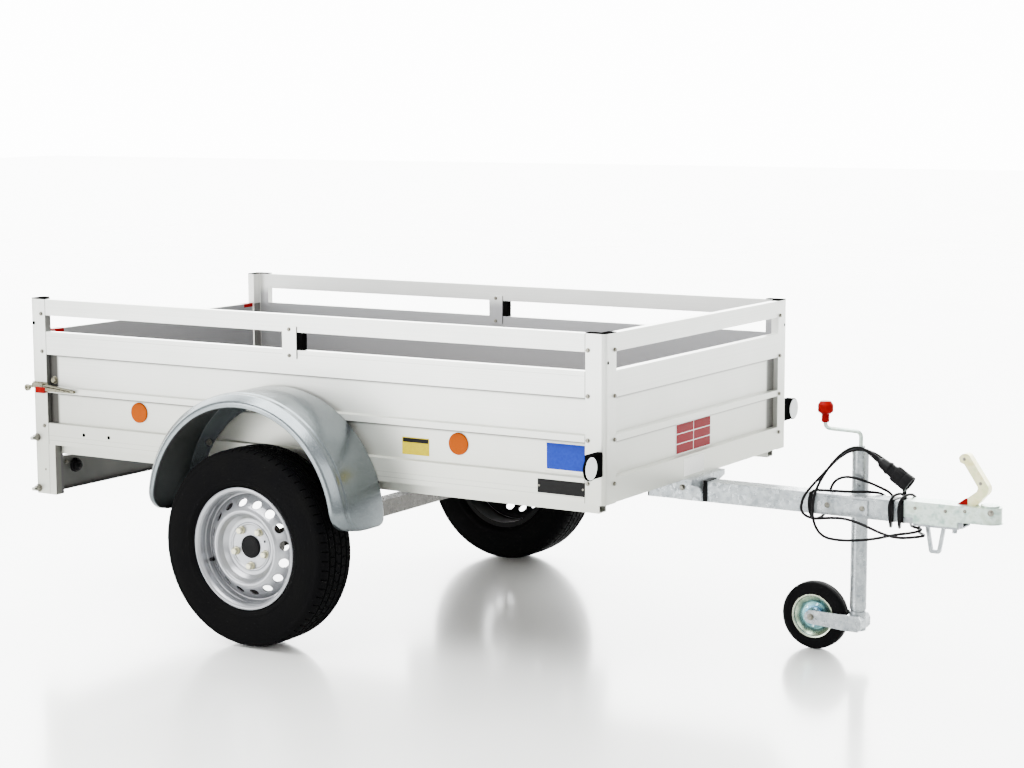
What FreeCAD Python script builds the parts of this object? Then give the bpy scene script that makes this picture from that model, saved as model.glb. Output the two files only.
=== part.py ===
# Single-axle utility trailer, parametric source in millimetres
import FreeCAD, Part
import Sketcher
import math
import os
import re

doc = FreeCAD.newDocument("utility_trailer")
V = FreeCAD.Vector

# Named sizes, each written once
sizes = [
    # body and boards
    ("body_length", 2114),        # front posts to rear posts, outside
    ("body_width", 1174),
    ("hook_reach", 26),           # latch hooks behind the rear posts
    ("nose_reach", 918),          # coupling tip ahead of the front posts
    ("board_thick", 25),
    ("board_bottom", 499),
    ("board_height", 365),
    ("band_low", 69),             # height of the raised lower band
    ("rib_low", 169),             # rib above the board's bottom
    ("rib_wide", 18),
    ("band_high", 73),            # height of the raised upper band
    ("recess", 15),               # depth between the raised bands
    ("ledge", 3),                 # height of their sloping edges
    ("rail_gap", 53),             # board top to rail
    ("rail_high", 51),
    ("rail_wall", 2),
    # posts
    ("post_leg", 62),
    ("post_wall", 3),
    ("post_round", 12),
    ("front_foot", 497),
    ("rear_foot", 336),
    ("cap_height", 2.5),
    ("brace_width", 27),          # short upright under the board beside the rear post
    ("brace_depth", 35),
    ("pin_radius", 6),
    ("pin_out", 28),              # stud standing out of the post side
    ("stud_height", 353),
    # rail supports
    ("support_front", 1043),      # behind the front posts
    ("support_width", 52),
    ("support_thick", 4),
    ("support_drop", 26),         # plates below the board's top
    ("support_rise", 17),         # plates above the rail's bottom
    ("spacer_width", 70),
    # floor frame
    ("floor_top", 565),
    ("floor_thick", 12),
    ("floor_rear", 44),           # floor edge ahead of the rear posts
    ("sill_width", 40),
    ("sill_height", 84),
    ("sill_wall", 3),
    ("sill_front", 32),
    ("sill_rear", 94),            # ahead of the rear posts' rear face
    ("member_width", 40),
    ("member_height", 50),
    # axle
    ("wheel_back", 1102),
    ("wheel_height", 295),
    ("axle_size", 50),
    ("axle_wall", 5),
    ("axle_back", 975),
    ("axle_height", 347),
    ("axle_out", 17),             # axle tube beyond the body's side
    ("arm_thick", 16),
    ("arm_big", 32),
    ("arm_small", 26),
    ("stub_radius", 15),
    ("stub_play", 0.5),
    ("bracket_width", 70),
    ("bracket_wall", 4),
    # wheels
    ("wheel_out", 127.5),         # wheel centre plane beyond the body's side
    ("tyre_radius", 295),
    ("tyre_width", 165),
    ("bead_radius", 172),
    ("bead_half", 64),
    ("flange_radius", 182.2),
    ("flange_out", 72.3),
    ("barrel_radius", 166),
    ("disc_face", 32),
    ("crown_radius", 108),        # raised ring round the bowl, vents on its outer slope
    ("crown_rise", 30),
    ("vent_radius", 14),
    ("vent_circle", 131),
    ("bolt_circle", 56),
    ("bolt_across", 19),          # across the flats
    ("bolt_high", 17),
    ("hub_bore", 29),
    ("hub_radius", 65),
    ("cap_radius", 34),
    ("cap_out", 38.5),
    # mudguards
    ("guard_back", 1104),
    ("guard_height", 384),
    ("guard_radius", 370),
    ("guard_lip", 40),
    ("guard_flange", 54),
    ("guard_sheet", 2),
    ("guard_wide", 213),
    ("guard_roll", 14),
    # drawbar and coupling
    ("bar_size", 60),
    ("bar_wall", 4),
    ("bar_top", 482),
    ("bar_rear", 160),
    ("bar_front", 815),
    ("plug_thick", 5),
    ("plate_half", 110),
    ("plate_thick", 5),
    ("cheek_thick", 4),
    ("cheek_rear", 62),
    ("cheek_front", 21),
    ("liner_length", 12),
    ("liner_thick", 3),
    ("nose_rear", 645),
    ("nose_half", 33),
    ("nose_wall", 3),
    ("nose_bottom", 440),
    ("nose_plate_rear", 671),
    ("nose_plate_front", 801),
    ("ball_at", 882),
    ("ball_height", 452),
    ("ball_radius", 25.4),
    ("lip_thick", 3),
    ("handle_width", 28),
    ("loop_rear", 702),
    ("loop_front", 751),
    ("loop_bar", 5),              # half the bar's thickness
    ("loop_lean", 12),            # legs lean in towards the bottom
    ("loop_round", 9),
    ("loop_bottom", 339),
    # jack
    ("jack_at", 469),
    ("jack_side", 75),
    ("jack_radius", 24),
    ("jack_wall", 2.5),
    ("jack_bottom", 134),
    ("jack_top", 597),
    ("jack_play", 0.5),
    ("clamp_bottom", 424),
    ("clamp_top", 480),
    ("clamp_wall", 6),
    ("leg_top", 560),
    ("leg_play", 0.6),
    ("fork_top", 128),
    ("fork_bottom", 72),
    ("fork_trail", 132),
    ("fork_gap", 33),
    ("fork_thick", 4),
    ("fork_head", 24.5),
    ("swivel_radius", 6),
    ("castor_radius", 100),
    ("castor_width", 50),
    ("castor_rim", 65),
    ("castor_hub", 18),
    ("castor_hub_half", 29),
    ("castor_axle", 6),
    ("crank_rod", 6),
    ("crank_height", 654),
    ("crank_reach", 111),
    ("knob_neck", 12),
    ("knob_head", 22.5),
    ("knob_bottom", 671),
    ("knob_step", 697),
    ("knob_top", 733),
    # rear end and lamps
    ("gate_gap", 10),             # gate end to rear post
    ("gate_set_in", 2),
    ("hinge_in", 14),             # hinge pin ahead of the rear face
    ("hinge_height", 519),
    ("gate_cap_length", 50),
    ("gate_cap_height", 13),
    ("lightbar_in", 31),          # lamp faces ahead of the rear face
    ("lightbar_bottom", 345),
    ("lightbar_top", 455),
    ("lightbar_sheet", 3),
    ("lamp_in", 162),             # lamp middle in from the body's side
    ("lamp_long", 150),
    ("lamp_high", 70),
    ("lamp_deep", 28),
    ("marker_out", 70),
    ("marker_height", 610),
    ("marker_radius", 34),
    ("marker_deep", 30),
    ("reflector_radius", 32),
    ("reflector_height", 628),
    ("reflector_first", 484),     # behind the front posts
    ("reflector_gap", 202),       # behind the mudguard
    ("latch_height", 677),
    # cable and plug
    ("cable_radius", 4),
    ("gland_radius", 8),
    ("boot_length", 48),
    ("grip_radius", 20),
    ("ring_radius", 24),
    ("plug_length", 158),
]
sheet = doc.addObject("Spreadsheet::Sheet", "dims")
for row, (alias, number) in enumerate(sizes, 1):
    sheet.set("A%d" % row, alias)
    sheet.set("B%d" % row, str(number))
    sheet.setAlias("B%d" % row, alias)
doc.recompute()
known = {alias for alias, number in sizes}

# Places that follow from the sizes above
follows = {
    "board_top": "(board_bottom + board_height)",
    "band_low_top": "(board_bottom + band_low)",
    "rib_bottom": "(board_bottom + rib_low)",
    "rib_top": "(rib_bottom + rib_wide)",
    "band_high_bottom": "(board_top - band_high)",
    "rail_bottom": "(board_top + rail_gap)",
    "rail_top": "(rail_bottom + rail_high)",
    "support_bottom": "(board_top - support_drop)",
    "support_top": "(rail_bottom + support_rise)",
    "axle_half": "(body_width / 2 + axle_out)",
    "guard_out": "(body_width / 2 + guard_wide)",
    "gate_half": "(body_width / 2 - post_leg - gate_gap)",
    "lamp_side": "(body_width / 2 - lamp_in)",
    "marker_side": "(body_width / 2 + marker_out)",
}


def tied(text):
    # names of sizes become references to the sheet
    def swap(found):
        word = found.group(0)
        if word in follows:
            return tied(follows[word])
        return "dims." + word if word in known else word
    return re.sub(r"[a-z][a-z_]*", swap, str(text))


def value(text):
    return float(sheet.evalExpression(tied(text)))


def ahead(text):
    # a distance ahead of the front posts' front face
    return "((body_length + hook_reach - nose_reach) / 2 + (%s))" % text


def bind(thing, prop, text):
    thing.setExpression(prop, tied(text))


def place(thing, at, turn=None):
    if turn:
        thing.Placement = FreeCAD.Placement(V(0, 0, 0), turn)
    for axis, text in zip("xyz", at):
        bind(thing, "Placement.Base." + axis, text)


def turned(axis):
    # turns the Z axis onto the named axis
    if axis == "X":
        return FreeCAD.Rotation(V(0, 1, 0), 90)
    if axis == "Y":
        return FreeCAD.Rotation(V(1, 0, 0), -90)
    return FreeCAD.Rotation()


def box(label, at, size):
    thing = doc.addObject("Part::Box", label)
    for prop, text in zip(("Length", "Width", "Height"), size):
        bind(thing, prop, text)
    place(thing, at)
    return thing


def rod(label, axis, at, radius, length):
    thing = doc.addObject("Part::Cylinder", label)
    bind(thing, "Radius", radius)
    bind(thing, "Height", length)
    place(thing, at, turned(axis))
    return thing


def ball(label, at, radius):
    thing = doc.addObject("Part::Sphere", label)
    bind(thing, "Radius", radius)
    place(thing, at)
    return thing


def planeOf(body, role):
    return [f for f in body.Origin.OriginFeatures if f.Role == role][0]


def sketch(body, plane, loops):
    # a loop is a list of corners, or a circle; a corner may end an arc
    drawn = body.newObject("Sketcher::SketchObject", body.Name + "_sketch")
    drawn.AttachmentSupport = [(planeOf(body, plane + "_Plane"), "")]
    drawn.MapMode = "FlatFace"
    for loop in loops:
        if loop[0] == "circle":
            _, x, y, r = loop
            circle = Part.Circle(V(value(x), value(y), 0), V(0, 0, 1), value(r))
            k = drawn.addGeometry(circle, False)
            for kind, text in (("DistanceX", x), ("DistanceY", y)):
                rule = Sketcher.Constraint(kind, -1, 1, k, 3, value(text))
                bindRule(drawn, drawn.addConstraint(rule), text)
            rule = Sketcher.Constraint("Radius", k, value(r))
            bindRule(drawn, drawn.addConstraint(rule), r)
            continue
        corners = [V(value(c[0]), value(c[1]), 0) for c in loop]
        ends = []
        for i, here in enumerate(corners):
            there = corners[(i + 1) % len(corners)]
            after = loop[(i + 1) % len(corners)]
            if len(after) == 4:
                radius = value(after[3])
                middle = (here + there) * 0.5
                half = (there - here).Length / 2
                away = V(there.y - here.y, here.x - there.x, 0).normalize()
                if after[2] == "cw":
                    away = away * -1
                rise = radius - math.sqrt(max(radius * radius - half * half, 0))
                k = drawn.addGeometry(Part.Arc(here, middle + away * rise, there), False)
                rule = Sketcher.Constraint("Radius", k, radius)
                bindRule(drawn, drawn.addConstraint(rule), after[3])
            else:
                k = drawn.addGeometry(Part.LineSegment(here, there), False)
            near = (drawn.getPoint(k, 1) - here).Length < 1e-6
            ends.append((k, 1 if near else 2, 2 if near else 1))
        for i, (k, first, last) in enumerate(ends):
            n, start, stop = ends[(i + 1) % len(ends)]
            drawn.addConstraint(Sketcher.Constraint("Coincident", k, last, n, start))
            for kind, text in zip(("DistanceX", "DistanceY"), loop[i][:2]):
                rule = Sketcher.Constraint(kind, -1, 1, k, first, value(text))
                bindRule(drawn, drawn.addConstraint(rule), text)
    return drawn


def bindRule(drawn, k, text):
    drawn.setExpression("Constraints[%d]" % k, tied(text))


def prism(label, plane, at, length, loops):
    # a drawn outline pushed along +X, +Y or +Z
    body = doc.addObject("PartDesign::Body", label)
    drawn = sketch(body, plane, loops)
    pad = body.newObject("PartDesign::Pad", label + "_pad")
    pad.Profile = (drawn, [""])
    bind(pad, "Length", length)
    pad.Reversed = plane == "XZ"
    body.Tip = pad
    place(body, at)
    doc.recompute()
    return body


def soften(body, radius, corners, plane):
    # rounds the long edges that stand on the named corners
    pad = body.Tip
    first, second = {"XY": (0, 1), "XZ": (0, 2), "YZ": (1, 2)}[plane]
    picked = []
    for k, edge in enumerate(pad.Shape.Edges, 1):
        points = [v.Point for v in edge.Vertexes]
        if len(points) != 2:
            continue
        for x, y in corners:
            spot = (value(x), value(y))
            if all(abs(p[first] - spot[0]) < 1e-4 for p in points):
                if all(abs(p[second] - spot[1]) < 1e-4 for p in points):
                    picked.append("Edge%d" % k)
    rounds = body.newObject("PartDesign::Fillet", body.Name + "_round")
    rounds.Base = (pad, picked)
    bind(rounds, "Radius", radius)
    body.Tip = rounds
    doc.recompute()
    return body


def lathe(label, at, loop, axis="Y", turn=360, lean=None):
    # an outline of (radius, distance) corners swept round the axis
    body = doc.addObject("PartDesign::Body", label)
    if axis == "Y":
        drawn = sketch(body, "XY", [loop])
    else:
        drawn = sketch(body, "XZ", [loop])
    spin = body.newObject("PartDesign::Revolution", label + "_turn")
    spin.Profile = (drawn, [""])
    spin.ReferenceAxis = (drawn, ["V_Axis"])
    spin.Angle = turn
    spin.Reversed = turn != 360
    body.Tip = spin
    place(body, at, lean)
    doc.recompute()
    return body


def joined(label, things):
    thing = doc.addObject("Part::MultiFuse", label)
    thing.Shapes = things
    return thing


def cut(label, base, tools):
    thing = doc.addObject("Part::Cut", label)
    thing.Base = base
    thing.Tool = tools[0] if len(tools) == 1 else joined(label + "_tools", tools)
    return thing


def together(label, things):
    thing = doc.addObject("Part::Compound", label)
    thing.Links = things
    return thing


def mirrored(label, source):
    thing = doc.addObject("Part::Mirroring", label)
    thing.Source = source
    thing.Base = V(0, 0, 0)
    thing.Normal = V(0, 1, 0)
    return thing


rear = ahead("-body_length")
side = "body_width / 2"
long_rail = "body_length - 2 * post_leg"
cross_rail = "body_width - 2 * post_leg"


def boardLoop(sign, inner="board_thick"):
    # section of a board: depth from the outer face, height
    corners = [
        ("0", "board_bottom"),
        ("0", "band_low_top"),
        ("recess", "band_low_top + ledge"),
        ("recess", "rib_bottom - ledge"),
        ("0", "rib_bottom"),
        ("0", "rib_top"),
        ("recess", "rib_top + ledge"),
        ("recess", "band_high_bottom - ledge"),
        ("0", "band_high_bottom"),
        ("0", "board_top"),
        (inner, "board_top"),
        (inner, "board_bottom"),
    ]
    return [("%s * (%s)" % (sign, x), y) for x, y in corners]


# Side and front boards
board = prism("board_section_right", "YZ", (rear + " + post_leg", "-" + side, "0"),
              long_rail, [boardLoop("1")])
holes = [
    rod("board_hole_" + tag, "Y", (rear + in_from_rear, "-%s - 1" % side, "board_bottom + 42"),
        "4.5", "board_thick + 2")
    for tag, in_from_rear in (("a", " + 214.5"), ("b", " + 319.4"))
]
side_board_right = cut("side_board_right", board, holes)
side_board_left = mirrored("side_board_left", side_board_right)
front_board = prism("front_board", "XZ", (ahead("0"), "-(%s)/2" % cross_rail, "0"),
                    cross_rail, [boardLoop("-1")])

# Corner posts, hollow angle sections
def postLoops(sign, hollow=True):
    outer = [
        ("0", "0"),
        ("post_leg", "0"),
        ("post_leg", "board_thick"),
        ("board_thick", "board_thick"),
        ("board_thick", "post_leg"),
        ("0", "post_leg"),
    ]
    inner = [
        ("post_round", "post_wall"),
        ("post_leg - post_wall", "post_wall"),
        ("post_leg - post_wall", "board_thick - post_wall"),
        ("board_thick - post_wall", "board_thick - post_wall"),
        ("board_thick - post_wall", "post_leg - post_wall"),
        ("post_wall", "post_leg - post_wall"),
        ("post_wall", "post_round"),
    ]
    loops = [outer, inner] if hollow else [outer]
    return [[("%s * (%s)" % (sign, x), y) for x, y in loop] for loop in loops]


def post(label, sign, corner, foot, height, hollow=True):
    body = prism(label, "XY", (corner, "-" + side, foot), height, postLoops(sign, hollow))
    return soften(body, "post_round", [("0", "0")], "XY")


post_front_right = post("post_front_right", "-1", ahead("0"), "front_foot",
                        "rail_top - front_foot")
post_front_left = mirrored("post_front_left", post_front_right)
rear_tube = post("post_rear_tube", "1", rear, "rear_foot", "rail_top - rear_foot")
brace = box("post_rear_brace", (rear + " + post_leg", "-" + side, "rear_foot"),
            ("brace_width", "brace_depth", "board_bottom - rear_foot"))
hinge_pin = rod("hinge_pin", "Y", (rear + " + hinge_in", "-%s - pin_out" % side, "hinge_height"),
                "pin_radius", "post_leg + gate_gap + pin_out + 10")
bar_stud = rod("light_bar_stud", "Y", (rear + " + hinge_in", "-%s - pin_out" % side, "stud_height"),
               "pin_radius", "pin_out + post_leg")
post_rear_right = joined("post_rear_right", [rear_tube, brace, hinge_pin, bar_stud])
post_rear_left = mirrored("post_rear_left", post_rear_right)
caps = [
    post("cap_front_right", "-1", ahead("0"), "rail_top", "cap_height", False),
    post("cap_rear_right", "1", rear, "rail_top", "cap_height", False),
]
caps += [mirrored("cap_front_left", caps[0]), mirrored("cap_rear_left", caps[1])]
post_caps = together("post_caps", caps)

# Top rails, rectangular tube
def tubeLoops(wide, high, wall):
    return [
        [("0", "0"), (wide, "0"), (wide, high), ("0", high)],
        [
            (wall, wall),
            ("%s - (%s)" % (wide, wall), wall),
            ("%s - (%s)" % (wide, wall), "%s - (%s)" % (high, wall)),
            (wall, "%s - (%s)" % (high, wall)),
        ],
    ]


top_rail_right = prism("top_rail_right", "YZ",
                       (rear + " + post_leg", "-" + side, "rail_bottom"),
                       long_rail, tubeLoops("board_thick", "rail_high", "rail_wall"))
top_rail_left = mirrored("top_rail_left", top_rail_right)
top_rail_front = prism("top_rail_front", "XZ",
                       (ahead("-board_thick"), "-(%s)/2" % cross_rail, "rail_bottom"),
                       cross_rail, tubeLoops("board_thick", "rail_high", "rail_wall"))

# Rail supports half way along the sides
support_at = ahead("-support_front - support_width")
plates = [
    box("support_outer", (support_at, "-%s - support_thick" % side, "support_bottom"),
        ("support_width", "support_thick", "support_top - support_bottom")),
    box("support_inner", (support_at, "-%s + board_thick" % side, "support_bottom"),
        ("support_width", "support_thick", "support_top - support_bottom")),
]
plates += [mirrored(p.Name + "_left", p) for p in plates]
rail_support_plates = together("rail_support_plates", plates)
spacer = box("support_block", (support_at, "-" + side, "board_top"),
             ("spacer_width", "board_thick", "rail_bottom - board_top"))
rail_support_spacers = together("rail_support_spacers",
                                [spacer, mirrored("support_block_left", spacer)])

# Floor, sills and cross members
inside = "(body_width / 2 - board_thick)"
floor_panel = box("floor_panel", (rear + " + floor_rear", "-" + inside, "floor_top - floor_thick"),
                  ("body_length - floor_rear - board_thick", "2 * " + inside, "floor_thick"))
under_floor = "(floor_top - floor_thick)"
sill = prism("sill_right", "YZ",
             (rear + " + sill_rear", "-" + inside, under_floor + " - sill_height"),
             "body_length - sill_rear - sill_front",
             tubeLoops("sill_width", "sill_height", "sill_wall"))
sills = together("sills", [sill, mirrored("sill_left", sill)])
between = "(%s - sill_width)" % inside
members = [
    prism("member_" + tag, "XZ", (x, "-" + between, under_floor + " - " + high),
          "2 * " + between, tubeLoops("member_width", high, "sill_wall"))
    for tag, x, high in (
        ("bar", ahead("-bar_rear + 10"), "(floor_top - floor_thick - bar_top)"),
        ("front", ahead("-600"), "member_height"),
        ("middle", rear + " + 814", "member_height"),
        ("back", rear + " + 414", "member_height"),
    )
]
members.append(prism("member_rear", "XZ",
                     (rear + " + 50", "-" + inside, under_floor + " - member_height"),
                     "2 * " + inside, tubeLoops("member_width", "member_height", "sill_wall")))
cross_members = together("cross_members", members)

# Axle tube with trailing arms
axle_tube = prism("axle_tube", "XZ",
                  (ahead("-axle_back - axle_size / 2"), "-axle_half", "axle_height - axle_size / 2"),
                  "2 * axle_half", tubeLoops("axle_size", "axle_size", "axle_wall"))
hanger_high = "(%s - sill_height - axle_height - axle_size / 2)" % under_floor
hanger = prism("axle_bracket_right", "YZ",
               (ahead("-axle_back - bracket_width / 2"), "-" + inside, "axle_height + axle_size / 2"),
               "bracket_width", tubeLoops("sill_width", hanger_high, "bracket_wall"))
axle_brackets = together("axle_brackets", [hanger, mirrored("axle_bracket_left", hanger)])
arm_y = "-axle_half - arm_thick"
arm_run = "(wheel_back - axle_back)"
arm_drop = "(axle_height - wheel_height)"
arm_web = prism("arm_web", "XZ", (ahead("-wheel_back"), arm_y, "wheel_height"), "arm_thick", [[
    ("arm_small * %s / hypot(%s; %s)" % (arm_drop, arm_run, arm_drop),
     "-arm_small * %s / hypot(%s; %s)" % (arm_run, arm_run, arm_drop)),
    ("%s + arm_big * %s / hypot(%s; %s)" % (arm_run, arm_drop, arm_run, arm_drop),
     "%s - arm_big * %s / hypot(%s; %s)" % (arm_drop, arm_run, arm_run, arm_drop)),
    ("%s - arm_big * %s / hypot(%s; %s)" % (arm_run, arm_drop, arm_run, arm_drop),
     "%s + arm_big * %s / hypot(%s; %s)" % (arm_drop, arm_run, arm_run, arm_drop)),
    ("-arm_small * %s / hypot(%s; %s)" % (arm_drop, arm_run, arm_drop),
     "arm_small * %s / hypot(%s; %s)" % (arm_run, arm_run, arm_drop)),
]])
centre_y = "(body_width / 2 + wheel_out)"
swing_arm_right = joined("swing_arm_right", [
    arm_web,
    rod("arm_boss_front", "Y", (ahead("-axle_back"), arm_y, "axle_height"), "arm_big", "arm_thick"),
    rod("arm_boss_rear", "Y", (ahead("-wheel_back"), arm_y, "wheel_height"), "arm_small",
        "arm_thick"),
    rod("arm_stub", "Y", (ahead("-wheel_back"), "-%s - 5" % centre_y, "wheel_height"),
        "stub_radius", "%s + 5 - axle_half - arm_thick + 1" % centre_y),
])
swing_arm_left = mirrored("swing_arm_left", swing_arm_right)

# Wheels; distances run outward from the wheel centre plane, to -Y on the right
wheel_at = (ahead("-wheel_back"), "-" + centre_y, "wheel_height")


def outward(corners):
    return [(c[0], "-(%s)" % c[1]) + tuple(c[2:]) for c in corners]


tyre_half = [
    ("bead_radius", "bead_half"),
    ("flange_radius + 1.5", "bead_half"),
    ("flange_radius + 10", "bead_half + 11"),
    ("tyre_radius - 63", "tyre_width / 2"),
    ("tyre_radius - 29", "tyre_width / 2 - 2.5"),
    ("tyre_radius - 8", "tyre_width / 2 - 14"),
    ("tyre_radius", "tyre_width / 2 - 34"),
]
tyre_right = lathe("tyre_right", wheel_at, outward(
    tyre_half + [(r, "-(%s)" % out) for r, out in reversed(tyre_half)]))
rim_turn = lathe("rim_turned", wheel_at, outward([
    ("flange_radius", "flange_out"),
    ("flange_radius", "bead_half"),
    ("bead_radius", "bead_half"),
    ("bead_radius", "-bead_half"),
    ("flange_radius", "-bead_half"),
    ("flange_radius", "-bead_half - 4"),
    ("barrel_radius", "-bead_half - 4"),
    ("barrel_radius", "disc_face - 8"),
    ("barrel_radius - 12", "disc_face - 8"),
    ("crown_radius + 4", "disc_face + crown_rise - 5"),
    ("crown_radius - 1", "disc_face + crown_rise - 5"),
    ("hub_radius + 20", "disc_face - 5"),
    ("hub_bore", "disc_face - 5"),
    ("hub_bore", "disc_face"),
    ("hub_radius + 17", "disc_face"),
    ("crown_radius - 4", "disc_face + crown_rise"),
    ("crown_radius + 5", "disc_face + crown_rise"),
    ("barrel_radius - 11", "disc_face"),
    ("barrel_radius", "disc_face + 10"),
    ("barrel_radius", "bead_half + 2"),
    ("barrel_radius + 7", "flange_out"),
]))
vents = []
for k in range(16):
    turn = 22.5 * k + 8
    hole = rod("rim_vent_%d" % k, "Y", (
        ahead("-wheel_back + vent_circle * cos(%s)" % turn),
        "-%s - 60" % centre_y,
        "wheel_height + vent_circle * sin(%s)" % turn,
    ), "vent_radius", "30")
    vents.append(hole)
rim_right = cut("rim_right", rim_turn, vents)
hub_right = lathe("hub_right", wheel_at, outward([
    ("stub_radius + stub_play", "-45"),
    ("hub_radius", "-45"),
    ("hub_radius", "disc_face - 5"),
    ("0", "disc_face - 5"),
    ("0", "8"),
    ("stub_radius + stub_play", "8"),
]))
heads = []
for k in range(5):
    turn = 72 * k - 90
    head = doc.addObject("Part::Prism", "wheel_bolt_%d" % k)
    head.Polygon = 6
    bind(head, "Circumradius", "bolt_across / sqrt(3)")
    bind(head, "Height", "bolt_high")
    place(head, (
        ahead("-wheel_back + bolt_circle * cos(%s)" % turn),
        "-%s - disc_face - bolt_high" % centre_y,
        "wheel_height + bolt_circle * sin(%s)" % turn,
    ), turned("Y"))
    heads.append(head)
wheel_bolts_right = together("wheel_bolts_right", heads)
hub_cap_right = lathe("hub_cap_right", wheel_at, outward([
    ("0", "disc_face - 5"),
    ("hub_bore", "disc_face - 5"),
    ("hub_bore", "disc_face"),
    ("cap_radius", "disc_face"),
    ("cap_radius - 3", "cap_out"),
    ("0", "cap_out"),
]))
wheel_left = [mirrored(p.Name.replace("right", "left"), p) for p in
              (tyre_right, rim_right, hub_right, wheel_bolts_right, hub_cap_right)]

# Mudguards: half-round shell with a lip turned in and a flange on the board
guard = lathe("fender_right", (ahead("-guard_back"), "0", "guard_height"), [
    ("guard_radius - guard_flange", "-" + side),
    ("guard_radius", "-" + side),
    ("guard_radius", "-guard_out"),
    ("guard_radius - guard_lip", "-guard_out"),
    ("guard_radius - guard_lip", "-guard_out + guard_roll"),
    ("guard_radius - guard_lip + guard_sheet", "-guard_out + guard_roll"),
    ("guard_radius - guard_lip + guard_sheet", "-guard_out + guard_sheet"),
    ("guard_radius - guard_sheet", "-guard_out + guard_sheet"),
    ("guard_radius - guard_sheet", "-%s - guard_sheet" % side),
    ("guard_radius - guard_flange", "-%s - guard_sheet" % side),
], "Y", 180)
fender_right = guard
fender_left = mirrored("fender_left", fender_right)

# Drawbar
bar_bottom = "(bar_top - bar_size)"
drawbar = prism("drawbar", "YZ", (ahead("-bar_rear"), "-bar_size / 2", bar_bottom),
                "bar_front + bar_rear", tubeLoops("bar_size", "bar_size", "bar_wall"))
end_plug = box("bar_end_plug", (ahead("-bar_rear - plug_thick"), "-bar_size / 2", bar_bottom),
               ("plug_thick", "bar_size", "bar_size"))
liner = prism("bar_liner", "YZ", (ahead("cheek_front"), "0", "0"), "liner_length", [[
    ("-bar_size / 2", "bar_top"),
    ("-bar_size / 2", bar_bottom),
    ("-bar_size / 2 - liner_thick", bar_bottom),
    ("-bar_size / 2 - liner_thick", "bar_top + liner_thick"),
    ("bar_size / 2 + liner_thick", "bar_top + liner_thick"),
    ("bar_size / 2 + liner_thick", bar_bottom),
    ("bar_size / 2", bar_bottom),
    ("bar_size / 2", "bar_top"),
]])
drawbar_plugs = together("drawbar_plugs", [end_plug, liner])
apron = [
    ("plate_half", "board_bottom"),
    ("plate_half", "board_bottom - 16"),
    ("plate_half * 0.55", "board_bottom - 30"),
    ("bar_size / 2 + cheek_thick + 6", "board_bottom - 48", "ccw", "30"),
    ("bar_size / 2 + cheek_thick", bar_bottom),
    ("bar_size / 2", bar_bottom),
    ("bar_size / 2", "bar_top"),
]
apron_right = [("-(%s)" % c[0], c[1]) for c in reversed(apron)]
apron_right[4] = apron_right[4][:2] + ("ccw", "30")
drawbar_bracket = joined("drawbar_bracket", [
    prism("bracket_apron", "YZ", (ahead("cheek_front - plate_thick"), "0", "0"), "plate_thick",
          [apron + apron_right]),
    box("bracket_top", (ahead("-cheek_rear"), "-plate_half", "board_bottom - plate_thick"),
        ("cheek_rear + cheek_front", "2 * plate_half", "plate_thick")),
    box("bracket_cheek_right", (ahead("-cheek_rear"), "-bar_size / 2 - cheek_thick", bar_bottom),
        ("cheek_rear + cheek_front", "cheek_thick", "board_bottom - " + bar_bottom)),
    box("bracket_cheek_left", (ahead("-cheek_rear"), "bar_size / 2", bar_bottom),
        ("cheek_rear + cheek_front", "cheek_thick", "board_bottom - " + bar_bottom)),
])

# Coupling head: pressed channel, closed round the ball
shell = prism("coupling_shell", "XY", (ahead("0"), "0", "nose_bottom"), "bar_top + 4 - nose_bottom", [[
    ("nose_rear", "-nose_half"),
    ("ball_at", "-nose_half"),
    ("ball_at + nose_half", "0", "ccw", "nose_half"),
    ("ball_at", "nose_half", "ccw", "nose_half"),
    ("nose_rear", "nose_half"),
]])
dome = rod("coupling_dome", "Z", (ahead("ball_at"), "0", "bar_top"), "26", "9")
lip = prism("coupling_lip", "XY", (ahead("0"), "0", "nose_bottom"), "lip_thick", [[
    ("nose_plate_front", "-nose_half - lip_thick"),
    ("ball_at", "-nose_half - lip_thick"),
    ("ball_at + nose_half + lip_thick", "0", "ccw", "nose_half + lip_thick"),
    ("ball_at", "nose_half + lip_thick", "ccw", "nose_half + lip_thick"),
    ("nose_plate_front", "nose_half + lip_thick"),
]])
skirt = box("coupling_skirt", (ahead("nose_plate_rear"), "-nose_half", "nose_bottom - 16"),
            ("nose_plate_front - nose_plate_rear", "2 * nose_half", "17"))
channel = box("coupling_channel", (ahead("nose_rear - 1"), "-bar_size / 2", "nose_bottom - 20"),
              ("bar_front + 4 - nose_rear + 1", "bar_size", "bar_top - nose_bottom + 20"))
coupling_body = cut("coupling_body", joined("coupling_outside", [shell, dome, lip, skirt]), [
    channel,
    ball("ball_socket", (ahead("ball_at"), "0", "ball_height"), "ball_radius"),
    rod("ball_mouth", "Z", (ahead("ball_at"), "0", "nose_bottom - 1"), "ball_radius",
        "ball_height - nose_bottom + 1"),
])
coupling_handle = prism("coupling_handle", "XZ", (ahead("0"), "-handle_width / 2", "0"),
                        "handle_width", [[
    ("822", "bar_top + 4"),
    ("844", "bar_top + 4"),
    ("856", "bar_top + 15"),
    ("870", "514"),
    ("876", "548", "ccw", "24"),
    ("825", "623"),
    ("794", "616", "ccw", "18"),
    ("797", "604"),
    ("809", "600"),
    ("846", "545"),
    ("843", "524", "cw", "14"),
    ("822", "507"),
]])
coupling_indicator = box("coupling_indicator", (ahead("789"), "-8", "bar_top + 4"),
                         ("33", "16", "18"))
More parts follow.
